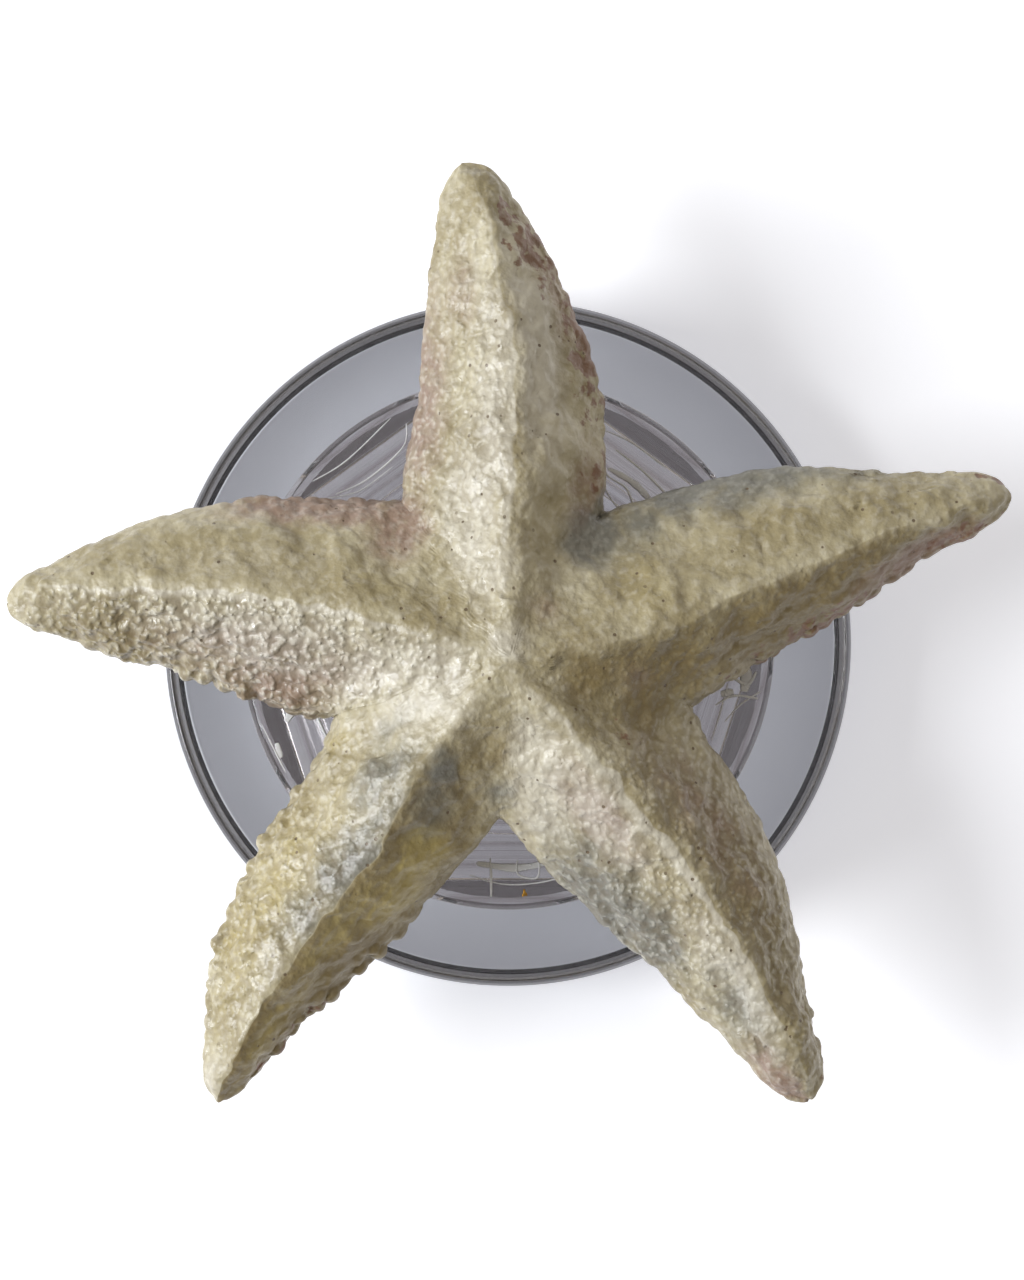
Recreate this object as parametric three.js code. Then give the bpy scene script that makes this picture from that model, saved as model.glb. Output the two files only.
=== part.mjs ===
// A dried, varnished starfish glued on a clear round stand. Lengths are in millimetres and +Z is up.
// The origin is the centre of the stand's underside. One arm, called the first, points along +Y.

import * as THREE from 'three';
import { ParametricGeometry } from 'three/addons/geometries/ParametricGeometry.js';
import { mergeVertices } from 'three/addons/utils/BufferGeometryUtils.js';

// ---- Driving dimensions ----

const SEAM = 0.3; // clearance between two pieces that touch
const ROUND_SEGMENTS = 56;

const FOOT_RADIUS = 37.3;
const FOOT_HEIGHT = 10;
const FOOT_BEVEL = 0.9;
const RIDGE_COUNT = 3; // rings round the edge of the foot
const RIDGE_DEPTH = 0.35;
const RIM_WIDTH = 1.5; // raised rim round the top of the foot
const RIM_STEP = 0.4;

const RISER_RADIUS = 28.4;
const RISER_HEIGHT = 8;
const RISER_BEVEL = 0.6;
// Steps moulded in the riser's underside: [radius, depth of the hollow inside it]
const RISER_STEPS = [[27.0, 0.9], [24.8, 1.5], [22.2, 2.0], [16.5, 2.5]];
const HOLLOW_SIDES = 5; // the hollow is a circle cut straight on five sides
const HOLLOW_FLAT = 0.94; // distance to a straight side, as a share of the round part's radius
const HOLLOW_FLAT_AT = 54; // angle of the first straight side

const PAD_RADIUS = 15;
const PAD_HEIGHT = 1.2;
const PAD_LOBES = 5;
const PAD_LOBE_DEPTH = 0.12; // as a share of the radius

const STARFISH_OFFSET = new THREE.Vector2(0, -0.5); // the starfish is fixed a little off centre
const KEEL_CENTRE = new THREE.Vector2(0.2, -1.3); // where the five keels meet
const CENTRE_HEIGHT = 15.5; // top of the keels where they meet, above the starfish's underside
const TIP_HEIGHT = 5.2; // top of the keel just short of a tip
const KEEL_POWER = 1.3; // 1 lets the keels fall straight from the centre, more keeps the middle level
const MARGIN_HEIGHT = 3.2; // widest line of the body near the centre, above the underside
const TIP_MARGIN = 2.2; // the same line at the tips
const FACET_POWER = 1.3; // 1 is a flat roof, 2 a round back
const NOSE_START = 0.92; // where the rounded tip begins, as a share of the reach
const NOSE_FULLNESS = 0.15;

// How far along each arm its keel and its two margins are given, as shares of the reach.
const KEEL_STATIONS = [0.27, 0.45, 0.62, 0.785, 0.92];
const MARGIN_STATIONS = [0.35, 0.5, 0.65, 0.8, 0.92];

// Arms in counterclockwise order. keel: sideways bend of the keel, left is positive. left, right: how
// far each margin stands out. notch: the hollow after the arm, as [distance, angle]. lift: curl of tip.
const ARMS = [
  {
    heading: 94.8, reach: 51.1, lift: 0.6, notch: [18.5, 125.8],
    keel: [-1.9, -2.6, -3.2, -2.4, -1.1],
    left: [9.1, 7.3, 5.9, 4.5, 3.1],
    right: [11.8, 11.5, 10.2, 7.5, 4.2],
  },
  {
    heading: 174.7, reach: 52.7, lift: 1.2, notch: [19.5, 201.2],
    keel: [-2.2, -3.1, -2.9, -2.6, -1.5],
    left: [8.9, 7.4, 5.6, 4.2, 2.9],
    right: [13.9, 13.2, 11.4, 7.9, 4.2],
  },
  {
    heading: 237.3, reach: 56.3, lift: 0.2, notch: [17.6, 267.3],
    keel: [-0.8, 0, -1.2, -1.6, -0.5],
    left: [8.4, 6.9, 5.4, 3.1, 2.0],
    right: [10.7, 10.7, 10.3, 8.0, 4.4],
  },
  {
    heading: 303.7, reach: 57.0, lift: 0.8, notch: [19.8, 342.4],
    keel: [1.3, 2.5, 2.7, 2.4, 1.5],
    left: [11.9, 11.9, 10.2, 6.7, 4.0],
    right: [9.7, 7.9, 5.4, 4.1, 2.9],
  },
  {
    heading: 16.9, reach: 54.8, lift: 1.6, notch: [17.0, 55.3],
    keel: [-3.0, -1.6, -0.6, 0.3, 0.4],
    left: [10.8, 10.4, 8.8, 5.9, 3.9],
    right: [10.4, 8.6, 6.6, 3.9, 2.8],
  },
];

const RIBS_PER_SIDE = 20; // ribs from a notch to a tip
const BODY_SHARE = 0.75; // share of those ribs that come before the rounded tip
const UPPER_ROWS = 9;
// Underside from the margin to its middle: [share of the width, share of the margin's height below it]
const UNDERSIDE = [[1, 0], [0.96, 0.55], [0.85, 0.9], [0.6, 1], [0.3, 1], [0.12, 0.55], [0, 0.35]];
const UPPER_SHARE = UPPER_ROWS / (UPPER_ROWS + UNDERSIDE.length - 1);

// ---- Materials ----

const dried = new THREE.MeshStandardMaterial({ color: 0xb5ab8d, roughness: 0.45, metalness: 0 });
const clear = {
  color: 0xb4bac6, roughness: 0.06, metalness: 0, transparent: true, opacity: 0.45,
};
const footPlastic = new THREE.MeshStandardMaterial(clear);
const riserPlastic = new THREE.MeshStandardMaterial({ ...clear, color: 0xaaa8ae });
const glue = new THREE.MeshStandardMaterial({ ...clear, color: 0xe4e2da, roughness: 0.3 });

// ---- Shared helpers ----

// Welds a geometry's seams and drops the triangles that have shrunk to nothing there.
function weld(geometry) {
  geometry.deleteAttribute('normal');
  geometry.deleteAttribute('uv');
  const welded = mergeVertices(geometry, 1e-3);
  const corners = welded.index.array;
  const kept = [];
  for (let i = 0; i < corners.length; i += 3) {
    const [a, b, c] = [corners[i], corners[i + 1], corners[i + 2]];
    if (a !== b && b !== c && c !== a) kept.push(a, b, c);
  }
  welded.setIndex(kept);
  welded.computeVertexNormals();
  return welded;
}

// A round solid from [radius, height] pairs that run counterclockwise from the axis back to the axis.
function turned(profile) {
  const points = profile.map(([radius, height]) => new THREE.Vector2(radius, height));
  return weld(new THREE.LatheGeometry(points, ROUND_SEGMENTS)).rotateX(Math.PI / 2);
}

function addPiece(group, name, geometry, material, height, offset = new THREE.Vector2()) {
  const mesh = new THREE.Mesh(geometry, material);
  mesh.name = name;
  mesh.position.set(offset.x, offset.y, height);
  group.add(mesh);
}

const mix = (from, to, share) => from + (to - from) * share;
const polar = (distance, angle) => {
  const turn = THREE.MathUtils.degToRad(angle);
  return new THREE.Vector2(distance * Math.cos(turn), distance * Math.sin(turn));
};

// ---- Stand ----

// A thick disc with a few fine rings round its edge and a low rim round its top.
function footGeometry() {
  const profile = [[0, 0], [FOOT_RADIUS - FOOT_BEVEL, 0], [FOOT_RADIUS, FOOT_BEVEL]];
  const pitch = (FOOT_HEIGHT - 2 * FOOT_BEVEL) / RIDGE_COUNT;
  for (let ring = 0; ring < RIDGE_COUNT; ring++) {
    const low = FOOT_BEVEL + ring * pitch;
    profile.push([FOOT_RADIUS - RIDGE_DEPTH, low + pitch / 2], [FOOT_RADIUS, low + pitch]);
  }
  const rimInside = FOOT_RADIUS - RIM_WIDTH;
  profile.push([FOOT_RADIUS - FOOT_BEVEL / 2, FOOT_HEIGHT], [rimInside, FOOT_HEIGHT]);
  profile.push([rimInside - RIM_STEP, FOOT_HEIGHT - RIM_STEP], [0, FOOT_HEIGHT - RIM_STEP]);
  return turned(profile);
}

// Pulls the points of the hollow in to its straight sides.
function flattenHollow(geometry) {
  const points = geometry.attributes.position;
  const step = 2 * Math.PI / HOLLOW_SIDES;
  const first = THREE.MathUtils.degToRad(HOLLOW_FLAT_AT);
  for (let i = 0; i < points.count; i++) {
    const [x, y, z] = [points.getX(i), points.getY(i), points.getZ(i)];
    const inHollow = z < RISER_HEIGHT / 2 && Math.hypot(x, y) < RISER_STEPS[0][0] + 0.3;
    const turn = (Math.atan2(y, x) - first) / step;
    const fromFlat = (turn - Math.round(turn)) * step;
    const pull = inHollow ? Math.min(1, HOLLOW_FLAT / Math.cos(fromFlat)) : 1;
    points.setXY(i, x * pull, y * pull);
  }
  return geometry;
}

// A clear disc with rounded edges, hollowed underneath by shallow steps.
function riserGeometry() {
  const profile = [[0, RISER_STEPS.at(-1)[1]]];
  for (let i = RISER_STEPS.length - 1; i >= 0; i--) {
    const [radius, depth] = RISER_STEPS[i];
    const nextDepth = i > 0 ? RISER_STEPS[i - 1][1] : 0;
    profile.push([radius, depth], [radius + 0.2, nextDepth]);
  }
  profile.push([RISER_RADIUS - RISER_BEVEL, 0], [RISER_RADIUS, RISER_BEVEL]);
  profile.push([RISER_RADIUS, RISER_HEIGHT - RISER_BEVEL]);
  profile.push([RISER_RADIUS - RISER_BEVEL, RISER_HEIGHT], [0, RISER_HEIGHT]);
  return flattenHollow(turned(profile));
}

// A thin pad of glue with a lobed outline and a rounded edge.
function padGeometry() {
  const half = PAD_HEIGHT / 2;
  const profile = [[0, 0], [0.95, 0], [1, half], [0.95, PAD_HEIGHT], [0, PAD_HEIGHT]];
  const segments = PAD_LOBES * 8;
  return weld(new ParametricGeometry((u, v, target) => {
    const at = v * (profile.length - 1);
    const step = Math.min(Math.floor(at), profile.length - 2);
    const share = at - step;
    const turn = (u % 1) * 2 * Math.PI;
    const lobed = PAD_RADIUS * (1 + PAD_LOBE_DEPTH * Math.cos(PAD_LOBES * turn + 1));
    const radius = lobed * mix(profile[step][0], profile[step + 1][0], share);
    const height = mix(profile[step][1], profile[step + 1][1], share);
    target.set(radius * Math.cos(turn), radius * Math.sin(turn), height);
  }, segments, profile.length - 1));
}

// ---- Starfish ----

// Each side of an arm is a row of ribs. A rib runs from the underside's middle line out to the margin
// and back over the facet to the keel. Its foot slides along the keel as its end goes notch to tip.
function armCurves(arm, before) {
  const along = polar(1, arm.heading);
  const across = new THREE.Vector2(-along.y, along.x);
  const place = (share, offset) =>
    along.clone().multiplyScalar(share * arm.reach).addScaledVector(across, offset);
  const path = (start, stations, offsets) =>
    new THREE.SplineCurve([start, ...stations.map((share, i) => place(share, offsets[i]))]);
  return {
    place,
    keel: path(KEEL_CENTRE, KEEL_STATIONS, arm.keel),
    left: path(polar(...arm.notch), MARGIN_STATIONS, arm.left),
    right: path(polar(...before.notch), MARGIN_STATIONS, arm.right.map((width) => -width)),
  };
}

const CURVES = ARMS.map((arm, i) => armCurves(arm, ARMS.at(i - 1)));

// The plan of one rib and its heights. progress is 0 at the notch and 1 at the tip.
function rib(index, side, progress) {
  const arm = ARMS[index];
  const curves = CURVES[index];
  const onBody = Math.min(progress / BODY_SHARE, 1);
  const inNose = Math.max((progress - BODY_SHARE) / (1 - BODY_SHARE), 0);
  const nosePath = 1 - (1 - inNose) ** 2;
  const narrowing = (1 - inNose) * (1 + NOSE_FULLNESS * nosePath);
  const foot = curves.keel.getPoint(onBody);
  const end = curves[side].getPoint(onBody);
  if (inNose > 0) {
    const share = mix(NOSE_START, 1, nosePath);
    foot.copy(curves.place(share, arm.keel.at(-1) * narrowing));
    const width = side === 'left' ? arm.left.at(-1) : -arm.right.at(-1);
    end.copy(curves.place(share, width * narrowing));
  }
  const distance = foot.distanceTo(KEEL_CENTRE) / arm.reach;
  const margin = mix(MARGIN_HEIGHT, TIP_MARGIN, progress);
  return {
    foot,
    end,
    margin,
    rise: (mix(CENTRE_HEIGHT, TIP_HEIGHT, distance ** KEEL_POWER) - margin) * narrowing,
    fall: margin * narrowing,
    lift: arm.lift * distance ** 3,
  };
}

const RIBS_PER_ARM = 2 * RIBS_PER_SIDE;
const RIBS = ARMS.length * RIBS_PER_ARM;
const underside = new THREE.SplineCurve(UNDERSIDE.map(([x, y]) => new THREE.Vector2(x, y)));

// A point of the body. u goes once round the outline and v from the underside's middle to the keel.
// Ribs are counted in whole numbers, so that the two sides of an arm meet exactly at its keel.
function bodyPoint(u, v, target) {
  const count = Math.round(u * RIBS) % RIBS;
  const index = Math.floor(count / RIBS_PER_ARM);
  const local = count - index * RIBS_PER_ARM;
  const side = local < RIBS_PER_SIDE ? 'right' : 'left';
  const fromNotch = Math.min(local, RIBS_PER_ARM - local);
  const { foot, end, margin, rise, fall, lift } = rib(index, side, fromNotch / RIBS_PER_SIDE);
  let share;
  let height;
  if (v > 1 - UPPER_SHARE) {
    const turn = (v - 1 + UPPER_SHARE) / UPPER_SHARE * Math.PI / 2;
    share = Math.max(Math.cos(turn), 0) ** (2 / FACET_POWER);
    height = margin + rise * Math.sin(turn) ** (2 / FACET_POWER);
  } else {
    const below = underside.getPoint(1 - v / (1 - UPPER_SHARE));
    share = Math.max(below.x, 0);
    height = margin - fall * below.y;
  }
  target.set(mix(foot.x, end.x, share), mix(foot.y, end.y, share), height + lift);
}

function starfishGeometry() {
  return weld(new ParametricGeometry(bodyPoint, RIBS, UPPER_ROWS + UNDERSIDE.length - 1));
}

// ---- Assembly ----

const riserBase = FOOT_HEIGHT - RIM_STEP + SEAM;
const padBase = riserBase + RISER_HEIGHT + SEAM;
const starfishBase = padBase + PAD_HEIGHT + SEAM;

const starfishOnStand = new THREE.Group();
addPiece(starfishOnStand, 'foot', footGeometry(), footPlastic, 0);
addPiece(starfishOnStand, 'riser', riserGeometry(), riserPlastic, riserBase);
addPiece(starfishOnStand, 'glue_pad', padGeometry(), glue, padBase);
addPiece(
  starfishOnStand, 'starfish', starfishGeometry(), dried, starfishBase, STARFISH_OFFSET,
);

export default starfishOnStand;
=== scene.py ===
"""A dried, varnished starfish on a clear round stand: its fine shape and its finish.

The body is one surface of ribs. Each rib leaves the keel of an arm, runs down the facet, rounds the
margin and ends in the groove underneath. Swells, knobs, granules and nodules are raised on that
surface. The foot, the riser and the set glue are profiles turned round the axis, and the strings of
glue are ovals carried along paths.
"""

import math

import bpy
import numpy as np
from bpy.props import FloatProperty, FloatVectorProperty, IntProperty, PointerProperty
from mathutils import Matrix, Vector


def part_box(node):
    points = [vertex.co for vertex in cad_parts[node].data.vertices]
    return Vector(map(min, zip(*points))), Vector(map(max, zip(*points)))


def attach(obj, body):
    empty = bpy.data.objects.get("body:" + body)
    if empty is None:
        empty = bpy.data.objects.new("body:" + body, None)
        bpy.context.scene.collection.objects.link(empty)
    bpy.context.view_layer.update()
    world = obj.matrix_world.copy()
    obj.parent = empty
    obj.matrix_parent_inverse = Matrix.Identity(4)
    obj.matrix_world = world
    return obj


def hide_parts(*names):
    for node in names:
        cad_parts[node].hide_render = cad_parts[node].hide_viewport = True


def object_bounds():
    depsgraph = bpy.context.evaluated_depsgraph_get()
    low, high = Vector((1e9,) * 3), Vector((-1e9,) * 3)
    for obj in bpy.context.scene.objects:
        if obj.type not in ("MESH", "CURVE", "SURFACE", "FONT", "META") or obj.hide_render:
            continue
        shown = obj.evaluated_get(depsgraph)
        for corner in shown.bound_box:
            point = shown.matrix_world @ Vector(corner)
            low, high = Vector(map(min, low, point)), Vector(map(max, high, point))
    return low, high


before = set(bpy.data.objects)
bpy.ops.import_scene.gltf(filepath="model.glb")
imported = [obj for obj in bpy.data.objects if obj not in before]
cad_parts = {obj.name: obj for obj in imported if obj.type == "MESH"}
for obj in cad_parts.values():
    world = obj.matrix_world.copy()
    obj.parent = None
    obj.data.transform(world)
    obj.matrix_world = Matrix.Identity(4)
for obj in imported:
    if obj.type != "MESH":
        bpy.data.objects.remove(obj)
CAD_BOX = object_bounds()

bl_info = {
    "name": "Dried Starfish on a Clear Stand",
    "version": (1, 0, 0),
    "blender": (4, 5, 0),
    "location": "3D View > Sidebar > Starfish",
    "description": "Builds a varnished starfish, its glue and its clear stand around the packed frame",
    "category": "Object",
}

MM = 0.001
ROOT = "root"

STARFISH_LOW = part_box("starfish")[0]
PAD_LOW, PAD_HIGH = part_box("glue_pad")
RISER_LOW, RISER_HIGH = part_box("riser")
FOOT_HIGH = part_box("foot")[1]


# ---------------------------------------------------------------------------
# Proportions of the starfish, in millimetres
# ---------------------------------------------------------------------------

STARFISH_OFFSET = (0.0, -0.5, 0.0)
KEEL_CENTRE = (0.2, -1.3)
CENTRE_HEIGHT = 15.5
TIP_HEIGHT = 5.2
KEEL_POWER = 1.3
MARGIN_HEIGHT = 3.2
TIP_MARGIN = 2.2
FACET_POWER = 1.3
NOSE_START = 0.92
NOSE_FULLNESS = 0.15
KEEL_STATIONS = (0.27, 0.45, 0.62, 0.785, 0.92)
MARGIN_STATIONS = (0.35, 0.5, 0.65, 0.8, 0.92)

# Arms in counterclockwise order, the first pointing along +Y. keel: sideways bend of the keel, left
# is positive. left, right: how far each margin stands out. notch: the hollow after the arm.
ARMS = (
    dict(heading=94.8, reach=51.1, lift=0.6, notch=(18.5, 125.8),
         keel=(-1.9, -2.6, -3.2, -2.4, -1.1),
         left=(9.1, 7.3, 5.9, 4.5, 3.1), right=(11.8, 11.5, 10.2, 7.5, 4.2)),
    dict(heading=174.7, reach=52.7, lift=1.2, notch=(19.5, 201.2),
         keel=(-2.2, -3.1, -2.9, -2.6, -1.5),
         left=(8.9, 7.4, 5.6, 4.2, 2.9), right=(13.9, 13.2, 11.4, 7.9, 4.2)),
    dict(heading=237.3, reach=56.3, lift=0.2, notch=(17.6, 267.3),
         keel=(-0.8, 0.0, -1.2, -1.6, -0.5),
         left=(8.4, 6.9, 5.4, 3.1, 2.0), right=(10.7, 10.7, 10.3, 8.0, 4.4)),
    dict(heading=303.7, reach=57.0, lift=0.8, notch=(19.8, 342.4),
         keel=(1.3, 2.5, 2.7, 2.4, 1.5),
         left=(11.9, 11.9, 10.2, 6.7, 4.0), right=(9.7, 7.9, 5.4, 4.1, 2.9)),
    dict(heading=16.9, reach=54.8, lift=1.6, notch=(17.0, 55.3),
         keel=(-3.0, -1.6, -0.6, 0.3, 0.4),
         left=(10.8, 10.4, 8.8, 5.9, 3.9), right=(10.4, 8.6, 6.6, 3.9, 2.8)),
)
FIRST, SECOND, THIRD, FOURTH, FIFTH = range(5)
LEFT, RIGHT = 1.0, -1.0

RIBS_IN_SPANS = (36, 25, 24, 24, 22)
RIBS_IN_NOSE = 19
UPPER_ROWS = 46
LOWER_ROWS = 16
# Underside from the margin to its middle: share of the width, share of the margin's height below it
UNDERSIDE = ((1, 0), (0.96, 0.55), (0.85, 0.9), (0.6, 1), (0.3, 1), (0.12, 0.55), (0, 0.35))
SECTION_STEPS = 400


# ---------------------------------------------------------------------------
# Arithmetic on whole arrays
# ---------------------------------------------------------------------------

def mix(start, stop, share):
    """start where share is 0, stop where it is 1, and evenly between them."""
    return start + (stop - start) * share


def smooth(low, high, value):
    """0 below low, 1 above high, and an even S between them. high may be the smaller one."""
    share = np.clip((value - low) / (high - low), 0, 1)
    return share * share * (3 - 2 * share)


def bell(value, middle, reach):
    """1 at middle, falling to 0 at reach either side of it."""
    return 1 - smooth(0, 1, np.abs(value - middle) / reach)


def polar(distance, angle):
    """The place in plan that far from the axis, at an angle in degrees from +X."""
    return distance * np.array((math.cos(math.radians(angle)), math.sin(math.radians(angle))))


def through(points, at):
    """A smooth curve through points, with at from 0 to 1 spread evenly over its spans.

    Each span is the cubic that leaves and arrives along the line between its neighbours' ends.
    """
    points = np.asarray(points, float)
    last = len(points) - 1
    place = np.clip(at, 0, 1) * last
    span = np.minimum(place.astype(int), last - 1)
    t = (place - span)[:, None]
    before, start, stop, after = (points[np.clip(span + k, 0, last)] for k in (-1, 0, 1, 2))
    leave, arrive = (stop - before) / 2, (after - start) / 2
    cubic = 2 * start - 2 * stop + leave + arrive
    square = 3 * stop - 3 * start - 2 * leave - arrive
    return ((cubic * t + square) * t + leave) * t + start


def hashed(cells, seed):
    """Three steady random numbers in 0 to 1 for each whole-numbered cell.

    Its coordinates and the seed, times large primes, are scrambled together bit by bit.
    """
    x, y, z = (cells[..., axis].astype(np.int64) for axis in range(3))
    mixed = (x * 73856093) ^ (y * 19349663) ^ (z * 83492791) ^ (seed * 2654435761)
    rows = []
    for turn in (1, 2, 3):
        mixed = (mixed ^ (mixed >> 13)) * 1274126177 + turn
        mixed &= 0x7FFFFFFF
        rows.append((mixed >> 7) % 65536 / 65535)
    return np.stack(rows, axis=-1)


def pebbles(points, size, seed):
    """Packed round pebbles: (distance to the nearest one's middle in sizes, its own random number).

    Space is cut into cubes of that size with one middle at a random place in each.
    """
    place = points / size
    home = np.floor(place).astype(np.int64)
    nearest = np.full(len(points), 9.0)
    chance = np.zeros(len(points))
    steps = (-1, 0, 1)
    for step in ((i, j, k) for i in steps for j in steps for k in steps):
        cell = home + step
        random = hashed(cell, seed)
        distance = np.linalg.norm(cell + 0.15 + 0.7 * random - place, axis=1)
        closer = distance < nearest
        nearest[closer] = distance[closer]
        chance[closer] = random[closer, 2]
    return nearest, chance


def rolling(points, size, seed):
    """Smooth random swells between 0 and 1, about size across: random corners, eased between."""
    place = points / size
    home = np.floor(place).astype(np.int64)
    share = place - home
    share = share * share * (3 - 2 * share)
    total = np.zeros(len(points))
    for corner in ((i, j, k) for i in (0, 1) for j in (0, 1) for k in (0, 1)):
        weight = np.prod(np.where(corner, share, 1 - share), axis=1)
        total += weight * hashed(home + corner, seed)[:, 0]
    return total


def swell(points, size, height, seed):
    """Random swells about size across, up to half of height up or down."""
    return height * (rolling(points, size, seed) - 0.5)


def drift(points, size, reach, seeds):
    """Random shifts, a column for each seed, up to half of reach each way."""
    return np.stack([swell(points, size, reach, seed) for seed in seeds], axis=1)


def dome(distance, radius):
    """Height of a round-topped bump, 1 at its middle and 0 from radius on."""
    return np.sqrt(np.clip(1 - (distance / radius) ** 2, 0, 1))


# ---------------------------------------------------------------------------
# Meshes from grids
# ---------------------------------------------------------------------------

def grid_triangles(ribs, rows):
    """Two triangles for each patch of a grid whose ribs close into a ring."""
    rib, row = np.meshgrid(np.arange(ribs), np.arange(rows - 1), indexing="ij")
    a = rib * rows + row
    b = (rib + 1) % ribs * rows + row
    quads = np.stack((a, b, b + 1, a + 1), axis=-1).reshape(-1, 4)
    return np.concatenate((quads[:, (0, 1, 2)], quads[:, (0, 2, 3)]))


def welded(points, triangles, tolerance=1e-7):
    """Joins points that coincide and drops triangles that shrink to nothing.

    Returns (kept places in points, triangles), wound so that the faces point outwards.
    """
    keys = np.round(points / tolerance).astype(np.int64)
    _, kept, place = np.unique(keys, axis=0, return_index=True, return_inverse=True)
    triangles = place.reshape(-1)[triangles]
    a, b, c = triangles.T
    triangles = triangles[(a != b) & (b != c) & (c != a)]
    corners = points[kept][triangles]
    volume = np.einsum("ij,ij->i", corners[:, 0], np.cross(corners[:, 1], corners[:, 2])).sum()
    return kept, triangles if volume > 0 else triangles[:, ::-1]


def point_normals(points, triangles):
    """Unit normals at the points, each the sum of its triangles' area normals."""
    a, b, c = (points[triangles[:, corner]] for corner in range(3))
    area = np.cross(b - a, c - a)
    total = np.zeros_like(points)
    for corner in range(3):
        for axis in range(3):
            total[:, axis] += np.bincount(triangles[:, corner], area[:, axis], len(points))
    return total / np.maximum(np.linalg.norm(total, axis=1, keepdims=True), 1e-20)


def add_piece(name, points, triangles, material, slot, layers=None, crease=None):
    """Makes an object in metres from points in millimetres and rides it on the body; slot is not used.
    """
    mesh = bpy.data.meshes.new(name)
    mesh.vertices.add(len(points))
    mesh.vertices.foreach_set("co", (points * MM).astype(np.float32).ravel())
    mesh.loops.add(triangles.size)
    mesh.loops.foreach_set("vertex_index", triangles.astype(np.int32).ravel())
    mesh.polygons.add(len(triangles))
    mesh.polygons.foreach_set("loop_start", np.arange(0, triangles.size, 3, dtype=np.int32))
    for layer, values in (layers or {}).items():
        attribute = mesh.attributes.new(layer, "FLOAT", "POINT")
        attribute.data.foreach_set("value", values.astype(np.float32))
    mesh.update(calc_edges=True)
    mesh.validate()
    mesh.shade_smooth()
    if crease is not None:
        mesh.set_sharp_from_angle(angle=crease)
    mesh.materials.append(material)
    piece = bpy.data.objects.new(name, mesh)
    bpy.context.scene.collection.objects.link(piece)
    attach(piece, ROOT)
    return piece


def turned_grid(profile, segments, outline=None):
    """A profile of (radius, height) carried round the axis, as (points, triangles) of a grid.

    A point stands at radius times the cosine and the sine of its turn, and at its height.
    outline(turn, radii) may reshape each ring.
    """
    radii, heights = np.asarray(profile, float).T
    turn = np.arange(segments) * (2 * math.pi / segments)
    rings = np.repeat(radii[None], segments, axis=0)
    if outline is not None:
        rings = outline(turn[:, None], rings)
    x = rings * np.cos(turn)[:, None]
    y = rings * np.sin(turn)[:, None]
    z = np.broadcast_to(heights, x.shape)
    return np.stack((x, y, z), axis=-1).reshape(-1, 3), grid_triangles(segments, len(radii))


def turned(profile, segments, outline=None):
    """The same with its poles closed."""
    points, triangles = turned_grid(profile, segments, outline)
    kept, triangles = welded(points, triangles)
    return points[kept], triangles


def carried_tube(path, radii, sides=8, flatness=1.0):
    """An oval profile carried along a path: (points, triangles). flatness is its height by its width.

    Each ring lies square to the path, set out by one direction across it and one roughly upwards.
    """
    ahead = np.gradient(path, axis=0)
    ahead /= np.linalg.norm(ahead, axis=1, keepdims=True)
    across = np.cross(ahead, (0.0, 0.0, 1.0))
    across /= np.linalg.norm(across, axis=1, keepdims=True)
    upwards = np.cross(across, ahead) * flatness
    turn = np.arange(sides) * (2 * math.pi / sides)
    ring = np.cos(turn)[:, None, None] * across + np.sin(turn)[:, None, None] * upwards
    points = path + ring * np.asarray(radii)[:, None]
    return points.reshape(-1, 3), grid_triangles(sides, len(path))


def joined(pieces):
    """Several (points, triangles) as one."""
    counts = np.cumsum([0] + [len(points) for points, _ in pieces])
    triangles = [corners + start for (_, corners), start in zip(pieces, counts)]
    return np.vstack([points for points, _ in pieces]), np.vstack(triangles)


# ---------------------------------------------------------------------------
# Shape of the starfish
# ---------------------------------------------------------------------------

def side_of_arm(index, side):
    """The ribs of one side of an arm, from its notch to its tip, as a dict of arrays.

    A rib's foot slides along the keel while its end runs along the margin. Past NOSE_START both
    close on the tip, narrowing by one minus the share of the nose that is passed.
    """
    arm = ARMS[index]
    notch = arm["notch"] if side == LEFT else ARMS[index - 1]["notch"]
    widths = arm["left"] if side == LEFT else [-width for width in arm["right"]]
    along = polar(1, arm["heading"])
    across = np.array((-along[1], along[0]))

    def place(shares, offsets):
        return np.multiply.outer(shares, along) * arm["reach"] + np.multiply.outer(offsets, across)

    spans = [np.arange(count) / count + span for span, count in enumerate(RIBS_IN_SPANS)]
    body = np.concatenate(spans) / len(RIBS_IN_SPANS)
    keel = np.vstack((KEEL_CENTRE, place(KEEL_STATIONS, arm["keel"])))
    margin = np.vstack((polar(*notch), place(MARGIN_STATIONS, widths)))
    in_nose = np.arange(RIBS_IN_NOSE + 1) / RIBS_IN_NOSE
    path = 1 - (1 - in_nose) ** 2
    closing = (1 - in_nose) * (1 + NOSE_FULLNESS * path)
    nose = mix(NOSE_START, 1, path)
    foot = np.vstack((through(keel, body), place(nose, arm["keel"][-1] * closing)))
    end = np.vstack((through(margin, body), place(nose, widths[-1] * closing)))
    narrowing = np.concatenate((np.ones(len(body)), closing))
    progress = np.linspace(0, 1, len(foot))
    distance = np.linalg.norm(foot - KEEL_CENTRE, axis=1) / arm["reach"]
    margin_height = mix(MARGIN_HEIGHT, TIP_MARGIN, progress)
    keel_height = mix(CENTRE_HEIGHT, TIP_HEIGHT, distance ** KEEL_POWER)
    return {
        "foot": foot, "end": end, "margin": margin_height,
        "rise": (keel_height - margin_height) * narrowing, "fall": margin_height * narrowing,
        "lift": arm["lift"] * distance ** 3, "along": distance,
        "edge": np.linspace(0, 1, len(foot)),
        "arm": np.full(len(foot), float(index)), "side": np.full(len(foot), side),
    }


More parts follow.
